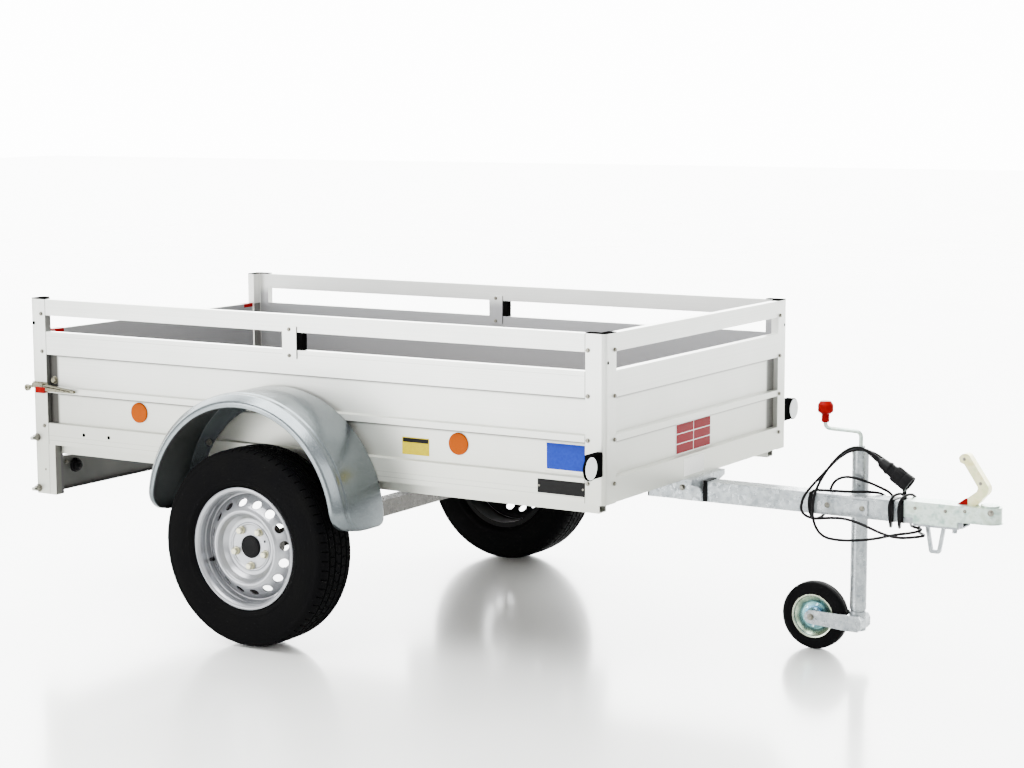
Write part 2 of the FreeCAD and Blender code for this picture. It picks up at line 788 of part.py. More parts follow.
drawbar_loop = joined("drawbar_loop", [
    box("loop_plate", (ahead("nose_plate_rear"), "-bar_size / 2", bar_bottom + " - 5"),
        ("nose_plate_front - nose_plate_rear", "bar_size", "5")),
    prism("loop_bend", "XZ", (ahead("0"), "-loop_bar", "0"), "2 * loop_bar", [[
        ("loop_rear - loop_bar", bar_bottom + " - 3"),
        ("loop_rear - loop_bar + loop_lean", "loop_bottom + loop_round"),
        ("loop_rear - loop_bar + loop_lean + loop_round", "loop_bottom", "ccw", "loop_round"),
        ("loop_front + loop_bar - loop_lean - loop_round", "loop_bottom"),
        ("loop_front + loop_bar - loop_lean", "loop_bottom + loop_round", "ccw", "loop_round"),
        ("loop_front + loop_bar", bar_bottom + " - 3"),
        ("loop_front - loop_bar", bar_bottom + " - 3"),
        ("loop_front - loop_bar - loop_lean", "loop_bottom + 2 * loop_bar + 2"),
        ("loop_front - loop_bar - loop_lean - 2", "loop_bottom + 2 * loop_bar"),
        ("loop_rear + loop_bar + loop_lean + 2", "loop_bottom + 2 * loop_bar"),
        ("loop_rear + loop_bar + loop_lean", "loop_bottom + 2 * loop_bar + 2"),
        ("loop_rear + loop_bar", bar_bottom + " - 3"),
    ]]),
    rod("loop_nut", "Z", (ahead("782"), "0", bar_bottom + " - 20"), "7", "18"),
])

# Jack: clamp, outer tube, crank, sliding leg, fork and wheel
jack = (ahead("jack_at"), "jack_side")
clamp_high = "clamp_top - clamp_bottom"
clamp_out = "jack_radius + clamp_wall"
jack_clamp = cut("jack_clamp", joined("clamp_solid", [
    box("clamp_block", (ahead("jack_at - 30"), "bar_size / 2", "clamp_bottom"),
        ("60", "jack_side - bar_size / 2", clamp_high)),
    rod("clamp_ring", "Z", jack + ("clamp_bottom",), clamp_out, clamp_high),
    box("clamp_plate_far", (ahead("jack_at - 68"), "bar_size / 2", "clamp_bottom"),
        ("136", "6", "clamp_top - clamp_bottom")),
]), [rod("clamp_bore", "Z", jack + ("clamp_bottom - 1",), "jack_radius + jack_play",
         clamp_high + " + 2")])
clamp_near = box("clamp_plate_near", (ahead("jack_at - 68"), "-bar_size / 2 - 5", "clamp_bottom + 6"),
                 ("136", "5", "clamp_top - clamp_bottom - 12"))
jack_clamp_plate = together("jack_clamp_plate", [clamp_near])
jack_tube = joined("jack_tube", [
    cut("jack_pipe", rod("jack_pipe_out", "Z", jack + ("jack_bottom",), "jack_radius",
                         "jack_top - jack_bottom"),
        [rod("jack_pipe_in", "Z", jack + ("jack_bottom - 1",), "jack_radius - jack_wall",
             "jack_top - jack_bottom - 3")]),
    rod("jack_collar", "Z", jack + ("jack_top - 9",), "jack_radius + 1", "9"),
    rod("jack_neck", "Z", jack + ("jack_top",), "12", "14"),
])
jack_crank = joined("jack_crank", [
    rod("crank_post", "Z", jack + ("jack_top + 14",), "crank_rod", "crank_height - jack_top - 14"),
    ball("crank_elbow", jack + ("crank_height",), "crank_rod"),
    rod("crank_arm", "X", (ahead("jack_at - crank_reach"), "jack_side", "crank_height"),
        "crank_rod", "crank_reach"),
    ball("crank_corner", (ahead("jack_at - crank_reach"), "jack_side", "crank_height"), "crank_rod"),
    rod("crank_pin", "Z", (ahead("jack_at - crank_reach"), "jack_side", "crank_height"),
        "crank_rod", "knob_bottom - crank_height"),
])
jack_knob = lathe("jack_knob", (ahead("jack_at - crank_reach"), "jack_side", "0"), [
    ("0", "knob_bottom"),
    ("knob_neck", "knob_bottom"),
    ("knob_neck", "knob_step"),
    ("knob_head", "knob_step + 6"),
    ("knob_head", "knob_top - 9"),
    ("knob_head - 7", "knob_top"),
    ("0", "knob_top"),
], "Z")
leg_radius = "jack_radius - jack_wall - leg_play"
jack_inner_tube = lathe("jack_inner_tube", jack + ("0",), [
    ("swivel_radius + 0.5", "fork_top + 1"),
    (leg_radius, "fork_top + 1"),
    (leg_radius, "leg_top"),
    (leg_radius + " - 3", "leg_top"),
    (leg_radius + " - 3", "fork_top + 26"),
    ("swivel_radius + 0.5", "fork_top + 26"),
], "Z")
axle_x = ahead("jack_at - fork_trail")
arm_out = "(fork_gap + fork_thick)"
fork_web = prism("fork_webs", "XZ", (axle_x, "jack_side - %s" % arm_out, "0"), "2 * (%s)" % arm_out, [[
    ("0", "castor_radius - 20", "ccw", "20"),
    ("fork_trail - 22", "fork_bottom"),
    ("fork_trail + 14", "fork_bottom"),
    ("fork_trail + 24", "fork_bottom + 10"),
    ("fork_trail + 24", "fork_top - 22"),
    ("fork_trail + 16", "fork_top - 10"),
    ("fork_trail - 22", "fork_top - 10"),
    ("0", "castor_radius + 20"),
    ("-20", "castor_radius", "ccw", "20"),
]])
jack_fork = joined("jack_fork", [
    cut("fork_cheeks", fork_web, [
        box("fork_slot", (ahead("jack_at - fork_trail - 30"), "jack_side - fork_gap", "0"),
            ("fork_trail + 30 - 22", "2 * fork_gap", "fork_top")),
    ]),
    rod("fork_crown", "Z", jack + ("fork_bottom",), "fork_head", "fork_top - fork_bottom"),
    rod("fork_swivel", "Z", jack + ("fork_top - 2",), "swivel_radius", "24"),
    rod("fork_axle", "Y", (axle_x, "jack_side - %s - 5" % arm_out, "castor_radius"),
        "castor_axle", "2 * (%s) + 10" % arm_out),
])
castor_at = (axle_x, "jack_side", "castor_radius")
jack_tyre = lathe("jack_tyre", castor_at, [
    ("castor_rim", "-castor_width / 2"),
    ("castor_radius - 12", "-castor_width / 2"),
    ("castor_radius - 3", "-castor_width / 2 + 6"),
    ("castor_radius", "-castor_width / 2 + 15"),
    ("castor_radius", "castor_width / 2 - 15"),
    ("castor_radius - 3", "castor_width / 2 - 6"),
    ("castor_radius - 12", "castor_width / 2"),
    ("castor_rim", "castor_width / 2"),
])
jack_rim = lathe("jack_rim", castor_at, [
    ("castor_axle + 0.6", "-castor_hub_half"),
    ("castor_hub", "-castor_hub_half"),
    ("castor_hub", "-6"),
    ("46", "-6"),
    ("castor_rim - 4", "-castor_width / 2 + 4"),
    ("castor_rim", "-castor_width / 2 + 2"),
    ("castor_rim", "castor_width / 2 - 2"),
    ("castor_rim - 4", "castor_width / 2 - 4"),
    ("46", "6"),
    ("castor_hub", "6"),
    ("castor_hub", "castor_hub_half"),
    ("castor_axle + 0.6", "castor_hub_half"),
])

# Light bar, lamps and markers
lamp_x = rear + " + lightbar_in"
bar_x = lamp_x + " + lamp_deep"
bar_half = "(body_width / 2 - brace_depth)"
bar_sheet = prism("light_bar_sheet", "XZ", (bar_x, "-" + bar_half, "0"), "2 * " + bar_half, [[
    ("0", "lightbar_bottom"),
    ("0", "lightbar_top"),
    ("20", "lightbar_top"),
    ("20", "lightbar_top - lightbar_sheet"),
    ("lightbar_sheet", "lightbar_top - lightbar_sheet"),
    ("lightbar_sheet", "lightbar_bottom + lightbar_sheet"),
    ("16", "lightbar_bottom + lightbar_sheet"),
    ("16", "lightbar_bottom"),
]])


def lampBox(label, y):
    return box(label, (lamp_x, y, "390 - lamp_high / 2"), ("lamp_deep", "lamp_long", "lamp_high"))


lamp_spots = (("right", "-lamp_side - lamp_long / 2"), ("left", "lamp_side - lamp_long / 2"))
ears = [
    box("light_bar_ear_right", (rear + " + board_thick", "-" + inside, "stud_height - 8"),
        ("lightbar_in + lamp_deep - board_thick", "%s - body_width / 2 + post_leg - 2" % inside,
         "60")),
]
ears.append(mirrored("light_bar_ear_left", ears[0]))
light_bar = joined("light_bar", [bar_sheet] + ears)
tail_lamps = together("tail_lamps", [lampBox("tail_lamp_" + tag, y) for tag, y in lamp_spots])
marker = joined("front_marker_right", [
    rod("marker_lamp", "X", (ahead("-4 - marker_deep"), "-marker_side", "marker_height"),
        "marker_radius", "marker_deep"),
    box("marker_arm", (ahead("-26"), "-marker_side", "marker_height - 14"),
        ("20", "marker_side - body_width / 2", "28")),
])
front_markers = together("front_markers", [marker, mirrored("front_marker_left", marker)])
spots = [
    rod("reflector_" + tag, "Y", (x, "-%s + recess - 6" % side, "reflector_height"),
        "reflector_radius", "6")
    for tag, x in (("front", ahead("-reflector_first")),
                   ("rear", ahead("-guard_back - guard_radius - reflector_gap")))
]
spots += [mirrored(p.Name + "_left", p) for p in spots]
side_reflectors = together("side_reflectors", spots)

# Tailgate with its end caps, and the latches
gate_x = rear + " + gate_set_in"
gate_cap_low = "(board_top - gate_cap_height)"
gate_board = prism("gate_board", "XZ", (gate_x, "-gate_half", "0"), "2 * gate_half",
                   [boardLoop("1")])
corner_boxes = []
cap_boxes = []
for tag, y in (("right", "-gate_half"), ("left", "gate_half - gate_cap_length")):
    for name, keep in (("gate_corner_", corner_boxes), ("gate_cap_", cap_boxes)):
        keep.append(box(name + tag, (gate_x, y, gate_cap_low),
                        ("board_thick", "gate_cap_length", "gate_cap_height")))
bores = [
    rod("gate_bore_" + tag, "Y", (rear + " + hinge_in", y, "hinge_height"), "pin_radius + 0.5", "12")
    for tag, y in (("right", "-gate_half"), ("left", "gate_half - 12"))
]
tailgate = cut("tailgate", gate_board, corner_boxes + bores)
tailgate_caps = together("tailgate_caps", cap_boxes)
latch = joined("latch_right", [
    box("latch_base", (rear + " + 1", "-%s - 4" % side, "latch_height - 9"), ("65", "4", "33")),
    box("latch_case", (rear + " + 9", "-%s - 16" % side, "latch_height - 4"), ("50", "13", "24")),
    box("latch_strap", (rear + " - hook_reach", "-%s - 13" % side, "latch_height - 5"),
        ("hook_reach + 12", "8", "14")),
    box("latch_hook", (rear + " - hook_reach", "-%s - 13" % side, "latch_height - 5"),
        ("6", "26", "14")),
    box("latch_lever", (rear + " + 55", "-%s - 13" % side, "latch_height - 4"), ("136", "7", "11")),
])
latches = together("latches", [latch, mirrored("latch_left", latch)])

# Cable wound round the drawbar; its points lie ahead of the front posts
cable_route = [
    (629, 10, 504), (628, 10, 530), (606, 9, 560), (572, 6, 588), (532, 0, 611),
    (488, -20, 617), (450, -44, 592), (410, -60, 542), (374, -68, 500), (353, -68, 470),
    (346, -66, 428), (384, -66, 412), (430, -66, 421), (484, -68, 425), (540, -74, 414),
    (596, -84, 397), (650, -92, 389), (706, -88, 398), (718, -50, 397), (676, -2, 393),
    (658, 56, 399), (650, 57, 505), (633, -50, 502), (638, -50, 403), (604, 50, 403),
    (582, 51, 484), (541, 42, 503), (497, 31, 520), (448, 29, 528), (408, 36, 513),
    (384, 52, 476), (377, 51, 403), (368, -50, 403), (364, -52, 500), (418, -34, 502),
    (476, -6, 496), (528, 18, 500), (562, 50, 481), (577, 52, 403), (612, -50, 403),
    (604, -50, 502), (620, 50, 503), (632, 52, 404), (654, 6, 406), (700, -24, 408),
    (690, -66, 405), (632, -72, 394), (576, -72, 376), (518, -76, 366), (464, -84, 363),
    (420, -85, 370), (396, -86, 404), (391, -86, 452), (400, -84, 502), (424, -76, 552),
    (458, -62, 600), (490, -50, 625), (519, -43, 627), (536, -42, 618),
]


def cableLine(points):
    # straight runs joined by arcs that touch them
    edges = []
    radii = []
    here = points[0]
    for before, corner, after in zip(points, points[1:], points[2:]):
        arriving = corner - before
        leaving = after - corner
        reach = 0.45 * min(arriving.Length, leaving.Length)
        arriving.normalize()
        leaving.normalize()
        half = arriving.getAngle(leaving) / 2
        radius = reach / math.tan(half)
        start = corner - arriving * reach
        end = corner + leaving * reach
        inward = (leaving - arriving).normalize()
        middle = corner + inward * (radius / math.cos(half) - radius)
        edges.append(Part.LineSegment(here, start).toShape())
        edges.append(Part.Arc(start, middle, end).toShape())
        radii.append(round(radius))
        here = end
    edges.append(Part.LineSegment(here, points[-1]).toShape())
    print("cable bend radii", radii)
    return Part.Wire(edges)


cable_line = cableLine([V(*point) for point in cable_route])
cable_start = V(*cable_route[0])
cable_way = V(*cable_route[1]) - cable_start
cable_section = Part.Wire(Part.Circle(cable_start, cable_way, value("cable_radius")).toShape())
cable_tube = cable_line.makePipeShell([cable_section], True, False)
cable_volume = math.pi * value("cable_radius") ** 2 * cable_line.Length
print("cable length", round(cable_line.Length), "mm, volume against section times length",
      round(cable_tube.Volume / cable_volume, 4))
cable = doc.addObject("Part::Feature", "cable")
cable.Shape = cable_tube
place(cable, (ahead("0"), "0", "0"))
cable_gland = lathe("cable_gland", (ahead("629"), "10", "bar_top"), [
    ("0", "0"),
    ("gland_radius", "0"),
    ("gland_radius", "4"),
    ("cable_radius + 2.5", "8"),
    ("cable_radius + 1.5", "26"),
    ("0", "26"),
], "Z")
plug_way = FreeCAD.Rotation(V(0, 0, 1), V(131, 2, -88))
plug = lathe("plug", (ahead("533.5"), "-42", "620"), [
    ("0", "0"),
    ("cable_radius + 1.5", "0"),
    ("cable_radius + 4.5", "boot_length"),
    ("grip_radius - 5", "boot_length + 8"),
    ("grip_radius - 3", "boot_length + 26"),
    ("grip_radius", "boot_length + 32"),
    ("grip_radius", "boot_length + 54"),
    ("ring_radius", "boot_length + 58"),
    ("ring_radius + 1", "plug_length - 5"),
    ("ring_radius - 1", "plug_length"),
    ("ring_radius - 5", "plug_length"),
    ("ring_radius - 5", "plug_length - 18"),
    ("0", "plug_length - 18"),
], "Z", 360, plug_way)

# Every named piece is checked and written as its own file
names = [
    "side_board_right", "side_board_left", "front_board", "post_front_right",
    "post_front_left", "post_rear_right", "post_rear_left", "post_caps",
    "top_rail_right", "top_rail_left", "top_rail_front", "rail_support_plates",
    "rail_support_spacers", "floor_panel", "sills", "cross_members",
    "axle_tube", "axle_brackets", "swing_arm_right", "swing_arm_left",
    "tyre_right", "rim_right", "hub_right", "wheel_bolts_right", "hub_cap_right",
    "tyre_left", "rim_left", "hub_left", "wheel_bolts_left", "hub_cap_left",
    "fender_right", "fender_left", "drawbar", "drawbar_plugs", "drawbar_bracket",
    "coupling_body", "coupling_handle", "coupling_indicator", "drawbar_loop",
    "jack_clamp", "jack_clamp_plate", "jack_tube", "jack_crank", "jack_knob",
    "jack_inner_tube", "jack_fork", "jack_tyre", "jack_rim", "light_bar",
    "tail_lamps", "front_markers", "side_reflectors", "tailgate",
    "tailgate_caps", "latches", "cable", "cable_gland", "plug",
]
doc.recompute()
os.makedirs("parts", exist_ok=True)
for thing in doc.Objects:
    if "Invalid" in thing.State or "Error" in thing.State:
        raise RuntimeError(thing.Name + " failed: " + str(thing.State))
for name in names:
    thing = doc.getObject(name)
    thing.Label = name
    if thing.Shape.isNull() or not thing.Shape.isValid():
        raise RuntimeError(name + " has no valid shape")
    thing.Shape.exportStep("parts/%s.step" % name)
    print(name, len(thing.Shape.Solids), round(thing.Shape.Volume / 1000, 1), "cm3")
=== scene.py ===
import bmesh
import bpy
from math import cos, hypot, pi, radians, sin, sqrt, tan
from mathutils import Matrix, Vector


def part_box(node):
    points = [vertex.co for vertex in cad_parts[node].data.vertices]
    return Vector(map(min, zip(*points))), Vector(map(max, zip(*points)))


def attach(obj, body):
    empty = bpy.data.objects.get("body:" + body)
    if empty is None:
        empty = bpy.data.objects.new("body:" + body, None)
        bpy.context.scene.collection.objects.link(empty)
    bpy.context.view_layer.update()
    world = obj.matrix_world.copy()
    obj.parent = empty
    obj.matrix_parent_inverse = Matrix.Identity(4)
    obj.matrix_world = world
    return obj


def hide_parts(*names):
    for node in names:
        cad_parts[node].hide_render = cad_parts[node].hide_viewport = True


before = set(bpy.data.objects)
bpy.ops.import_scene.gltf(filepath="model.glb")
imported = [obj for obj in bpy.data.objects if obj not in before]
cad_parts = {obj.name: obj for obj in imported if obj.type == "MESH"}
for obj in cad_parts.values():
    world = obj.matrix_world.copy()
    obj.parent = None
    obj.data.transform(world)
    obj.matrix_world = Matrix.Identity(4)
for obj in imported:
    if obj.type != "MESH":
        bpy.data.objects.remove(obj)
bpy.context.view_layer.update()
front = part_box("post_front_right")[1].x  # front face of the front posts
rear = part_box("post_rear_right")[0].x
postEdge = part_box("post_rear_right")[1].x
stepMm = 0.001
print("frame loaded")


def at(x, y, z):
    # millimetres ahead of the front posts, left of the middle and above the ground
    return Vector((front + x * stepMm, y * stepMm, z * stepMm))


def placed(name, data):
    # a new object in the scene
    thing = bpy.data.objects.new(name, data)
    bpy.context.collection.objects.link(thing)
    return thing


# Places that several pieces share, in millimetres
wheel = {"back": -1102, "side": 714.5, "height": 295}
jackAxle = (337, 75, 100)
sheetFace = 571.8  # from the middle out to the side boards' sheet
postFace = 587
lightBar = -2052


# Camera at the photograph's place
view = {"place": (2816, -5620.5, 1602.2), "azimuth": 31.73, "elevation": 7.59, "roll": -0.17,
        "lens": 75.56}


def makeCamera():
    turn, rise, roll = (radians(view[key]) for key in ("azimuth", "elevation", "roll"))
    ahead = Vector((-sin(turn) * cos(rise), cos(turn) * cos(rise), -sin(rise)))
    level = Vector((cos(turn), sin(turn), 0))
    upright = level.cross(ahead)
    right = level * cos(roll) + upright * sin(roll)
    up = upright * cos(roll) - level * sin(roll)
    lens = bpy.data.cameras.new("photo_camera")
    lens.lens = view["lens"]
    lens.sensor_width = 36
    lens.clip_end = 200
    camera = placed("photo_camera", lens)
    camera.matrix_world = Matrix.Translation(at(*view["place"])) @ Matrix(
        (right, up, -ahead)).transposed().to_4x4()
    bpy.context.scene.camera = camera


makeCamera()


# Node helpers
def linear(code):
    values = [int(code[k:k + 2], 16) / 255 for k in (0, 2, 4)]
    return [v / 12.92 if v <= 0.04045 else ((v + 0.055) / 1.055) ** 2.4 for v in values] + [1]


def add(tree, kind, settings=None, links=None, out=0):
    # adds a node with its settings and links (sockets, numbers or colours), gives one output
    node = tree.nodes.new("ShaderNode" + kind)
    for name, value in (settings or {}).items():
        if name == "stops":  # place and colour of each key of a ramp
            keys = node.color_ramp.elements
            while len(keys) < len(value):
                keys.new(0.5)
            for key, (spot, code) in zip(keys, value.items()):
                key.position = spot
                key.color = linear(code)
        elif isinstance(name, int) or name in node.inputs:
            node.inputs[name].default_value = value
        else:
            setattr(node, name, value)
    for name, source in (links or {}).items():
        if isinstance(source, bpy.types.NodeSocket):
            tree.links.new(source, node.inputs[name])
        else:
            node.inputs[name].default_value = linear(source) if isinstance(source, str) else source
    return node.outputs[out]


tints = {"data_type": "RGBA"}  # a colour mix, with its three sockets and its output
share, under, over, mixed = 0, 6, 7, 2


def ranged(start, end, low=0.0, high=1.0, soft=True):
    # settings that turn one span of values into another
    return {"From Min": start, "From Max": end, "To Min": low, "To Max": high,
            "interpolation_type": "SMOOTHSTEP" if soft else "LINEAR"}


def begin(name, metallic=0.0, coat=0.0, shine=0.5):
    made = bpy.data.materials.new(name)
    made.use_nodes = True
    tree = made.node_tree
    shader = tree.nodes["Principled BSDF"]
    shader.inputs["Metallic"].default_value = metallic
    shader.inputs["Specular IOR Level"].default_value = shine
    if coat:
        shader.inputs["Coat Weight"].default_value = coat
        shader.inputs["Coat Roughness"].default_value = 0.12
    return made, tree, add(tree, "TexCoord", out="Object")


def finish(made, colour, gloss, relief=None, span=(0.3, 0.7)):
    # gloss: (pattern, lowest roughness, highest); relief: (pattern, strength, depth in mm)
    tree = made.node_tree
    shader = tree.nodes["Principled BSDF"]
    rough = add(tree, "MapRange", ranged(*span, *gloss[1:], soft=False), {0: gloss[0]})
    tree.links.new(colour, shader.inputs["Base Color"])
    tree.links.new(rough, shader.inputs["Roughness"])
    if relief:
        settings = {"Strength": relief[1], "Distance": relief[2] * stepMm}
        tree.links.new(add(tree, "Bump", settings, {"Height": relief[0]}), shader.inputs["Normal"])
    return made


def pattern(tree, place, sizes, detail, rough=0.55):
    # cloudy noise; sizes: length of one feature in mm, the same each way or along X, Y and Z
    lengths = sizes if isinstance(sizes, tuple) else (sizes,) * 3
    scaled = add(tree, "Mapping", {"Scale": [1000 / size for size in lengths]}, {0: place})
    settings = {"Scale": 1, "Detail": detail, "Roughness": rough}
    return add(tree, "TexNoise", settings, {0: scaled})


def apart(tree, place):
    # the coordinates one by one, and the distance from the middle without its sign
    x, y, z = add(tree, "SeparateXYZ", None, {0: place}).node.outputs
    return {"x": x, "y": y, "z": z, "side": add(tree, "Math", {"operation": "ABSOLUTE"}, {0: y})}


def offAxle(tree, place, axle):
    # distance from an axle along Y
    flat = add(tree, "VectorMath", {"operation": "MULTIPLY", 1: (1, 0, 1)}, {0: place})
    settings = {"operation": "DISTANCE", 1: (axle.x, 0, axle.z)}
    return add(tree, "VectorMath", settings, {0: flat}, "Value")


def combined(tree, first, *others, how="MULTIPLY"):
    # product, sum or highest of several masks
    for other in others:
        first = add(tree, "Math", {"operation": how}, {0: first, 1: other})
    return first


def within(tree, value, low, high):
    # one inside the span, nought outside it
    above = add(tree, "Math", {"operation": "GREATER_THAN", 1: low}, {0: value})
    below = add(tree, "Math", {"operation": "LESS_THAN", 1: high}, {0: value})
    return combined(tree, above, below)


# Soft shade in the boards' corners, placed in metres
board = {
    "top": 0.862, "recess": (0.568, 0.791), "ledges": (0.791, 0.668), "ledgeShade": 0.012,
    "sheet": (0.566, 0.579),  # from the middle out to the recessed sheet's face
    "step": (0.566, 0.5866), "face": (0.5866, 0.59), "edge": (0.586, 0.59),
    "inner": 0.5624, "innerRear": rear + 0.0266, "innerFront": front - 0.0246,
    "frontSheet": (front - 0.0165, front - 0.012), "frontStep": (front - 0.0165, front - 0.0004),
    "grooves": {0.5135: 0.35, 0.5285: 0.25, 0.8505: 0.25},
    "seams": {postEdge - 0.0268: 0.004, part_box("post_front_right")[0].x - 0.0005: -0.003},
    "postSeam": (postEdge - 0.0285, postEdge - 0.0265), "bottom": 0.4985, "groove": 0.0008,
    "insideFade": (0.89, 0.93), "besideRear": (postEdge + 0.003, postEdge + 0.016),
    "besideLeft": (0.464, 0.482), "besideBoth": (0.502, 0.508),
}


def insideMask(tree, spot):
    # the faces that look into the box
    high = add(tree, "MapRange", ranged(*board["insideFade"], 1.0, 0.35), {0: spot["z"]})
    return combined(tree, within(tree, spot["side"], -1, board["inner"]), high,
                    within(tree, spot["x"], board["innerRear"], board["innerFront"]))


def underLedges(tree, spot):
    # painted shade below the upper band and below the rib
    shades = []
    for top in board["ledges"]:
        soft = add(tree, "MapRange", ranged(top - board["ledgeShade"], top - stepMm), {0: spot["z"]})
        shades.append(combined(tree, soft, within(tree, spot["z"], 0.5, top + 0.0004)))
    return combined(tree, *shades, how="ADD")


def sideShade(tree, spot):
    # below the side boards' ledges, beside each rear post, in the grooves and at the seams
    near = add(tree, "MapRange", ranged(*board["besideRear"], 0.97, 0.0), {0: spot["x"]})
    shades = [combined(tree, near, within(tree, spot["side"], *board["sheet"]),
                       within(tree, spot["z"], *board["recess"])),
              combined(tree, underLedges(tree, spot), within(tree, spot["side"], *board["step"]))]
    for groove, strength in board["grooves"].items():
        line = within(tree, spot["z"], groove - board["groove"], groove + board["groove"])
        shades.append(combined(tree, line, strength, within(tree, spot["side"], *board["face"])))
    for seam, wide in board["seams"].items():
        soft = add(tree, "MapRange", ranged(seam, seam + wide, 0.9, 0.0), {0: spot["x"]})
        line = within(tree, spot["x"], seam - abs(wide), seam + abs(wide))
        shades.append(combined(tree, soft, line, within(tree, spot["side"], *board["edge"])))
    return combined(tree, *shades, how="MAXIMUM")


def frontShade(tree, spot):
    # the same on the front board; the wider shade lies beside its left post
    wide = add(tree, "MapRange", ranged(*board["besideLeft"], 0.0, 0.9), {0: spot["y"]})
    narrow = add(tree, "MapRange", ranged(*board["besideBoth"], 0.0, 0.9), {0: spot["side"]})
    beside = combined(tree, combined(tree, wide, narrow, how="MAXIMUM"),
                      within(tree, spot["x"], *board["frontSheet"]),
                      within(tree, spot["z"], *board["recess"]))
    below = combined(tree, underLedges(tree, spot), within(tree, spot["x"], *board["frontStep"]))
    return combined(tree, beside, below, how="MAXIMUM")


def postShade(tree, spot):
    # the rear posts' faces that look forward along the boards, and the seam of the brace
    facing = apart(tree, add(tree, "NewGeometry", out="Normal"))
    shown = combined(tree, within(tree, spot["z"], 0, board["top"]), within(tree, spot["y"], -9, 0),
                     how="MAXIMUM")
    ahead = combined(tree, within(tree, facing["x"], 0.8, 2), within(tree, spot["x"], -9, 0), shown, 0.8)
    seam = combined(tree, within(tree, spot["z"], 0, board["bottom"]), 0.6,
                    within(tree, spot["x"], *board["postSeam"]))
    return combined(tree, ahead, seam, how="MAXIMUM")


# Materials, each named for what it is and how its surface was made
def anodised(name, sizes, inner=True, shade=None):
    # extruded aluminium, satin anodised: fine die lines along the section, greyer inside
    made, tree, place = begin(name, metallic=0.7)
    spot = apart(tree, place)
    lines = pattern(tree, place, sizes, 4)
    streaks = add(tree, "ValToRGB", {"stops": {0.35: "CBCDC9", 0.65: "EFF0EC"}}, {0: lines})
    colour = add(tree, "ValToRGB", {"stops": {0.3: "D8DAD5", 0.7: "E4E5E1"}},
                 {0: pattern(tree, place, 260, 2)})
    # painted shade: the boards turn darker and duller towards the ground
    low = add(tree, "MapRange", ranged(0.92, 0.5, 0.0, 0.8), {0: spot["z"]})
    layers = [(0.35, streaks), (low, "A9AAA0")]
    if inner:
        layers.append((insideMask(tree, spot), "8F9092"))
    if shade:
        layers.append((shade(tree, spot), "282623"))
    for part, layer in layers:
        colour = add(tree, "Mix", tints, {share: part, under: colour, over: layer}, mixed)
    return finish(made, colour, (lines, 0.34, 0.46), (lines, 0.12, 0.2))


def galvanised(name, light, dark, metallic=0.8, speck=0.75):
    # hot-dip zinc: crystals of about 9 mm, with cloudy patches and small dull specks
    made, tree, place = begin(name, metallic)
    wavy = pattern(tree, place, 22, 4)
    cells = add(tree, "TexVoronoi", {"Scale": 1000 / 9}, {0: place}, "Color")
    tone, gloss = add(tree, "SeparateColor", None, {0: cells}).node.outputs[:2]
    cloud = add(tree, "ValToRGB", {"stops": {0.32: dark, 0.68: light}}, {0: wavy})
    grain = add(tree, "ValToRGB", {"stops": {0.0: dark, 1.0: light}}, {0: tone})
    spots = add(tree, "MapRange", ranged(0.56, 0.68, 0, speck, soft=False),
                {0: pattern(tree, place, (7, 7, 5), 4, 0.7)})
    colour = add(tree, "Mix", tints, {share: 0.45, under: cloud, over: grain}, mixed)
    colour = add(tree, "Mix", tints, {share: spots, under: colour, over: "7A8083"}, mixed)
    return finish(made, colour, (gloss, 0.24, 0.44), (wavy, 0.35, 0.4), span=(0, 1))


def smoothZinc(name, light, dark, rough):
    # pressed sheet with a fine zinc grain, with painted shade darker towards the ground
    made, tree, place = begin(name, metallic=0.85)
    fine = pattern(tree, place, 1.2, 2)
    stops = {"stops": {0.3: dark, 0.7: light}}
    cloud = add(tree, "ValToRGB", stops, {0: pattern(tree, place, 120, 3)})
    grain = add(tree, "ValToRGB", stops, {0: fine})
    # painted shade: darker towards the ground, mixed to 3E4446
    low = add(tree, "MapRange", ranged(0.6, 0.38, 0.0, 0.6), {0: apart(tree, place)["z"]})
    colour = add(tree, "Mix", tints, {share: 0.3, under: cloud, over: grain}, mixed)
    colour = add(tree, "Mix", tints, {share: low, under: colour, over: "3E4446"}, mixed)
    return finish(made, colour, (fine, *rough), (fine, 0.08, 0.1))


def plated(name, first, second, third, sizeMm):
    # passivated zinc plating: thin colour that drifts between tints
    made, tree, place = begin(name, metallic=0.8)
    fine = pattern(tree, place, 2, 3)
    colour = add(tree, "ValToRGB", {"stops": {0.3: first, 0.5: second, 0.7: third}},
                 {0: pattern(tree, place, sizeMm, 2)})
    return finish(made, colour, (fine, 0.26, 0.4), (fine, 0.1, 0.1))


def ringed(name, axle, reach, stops):
    # zinc plating whose passivation changes tint from ring to ring round an axle along Y
    made, tree, place = begin(name, metallic=0.85)
    fine = pattern(tree, place, 2, 3)
    wander = add(tree, "MapRange", ranged(0.3, 0.7, -0.003, 0.003, soft=False),
                 {0: pattern(tree, place, 14, 2)})
    out = combined(tree, offAxle(tree, place, axle), wander, how="ADD")
    level = add(tree, "MapRange", ranged(0, reach, soft=False), {0: out})
    colour = add(tree, "ValToRGB", {"stops": stops}, {0: level})
    return finish(made, colour, (fine, 0.2, 0.32), (fine, 0.1, 0.1))


rimShade = {"well": (0.148, 0.157), "outside": (0.758, 0.772)}  # from the axle and the middle


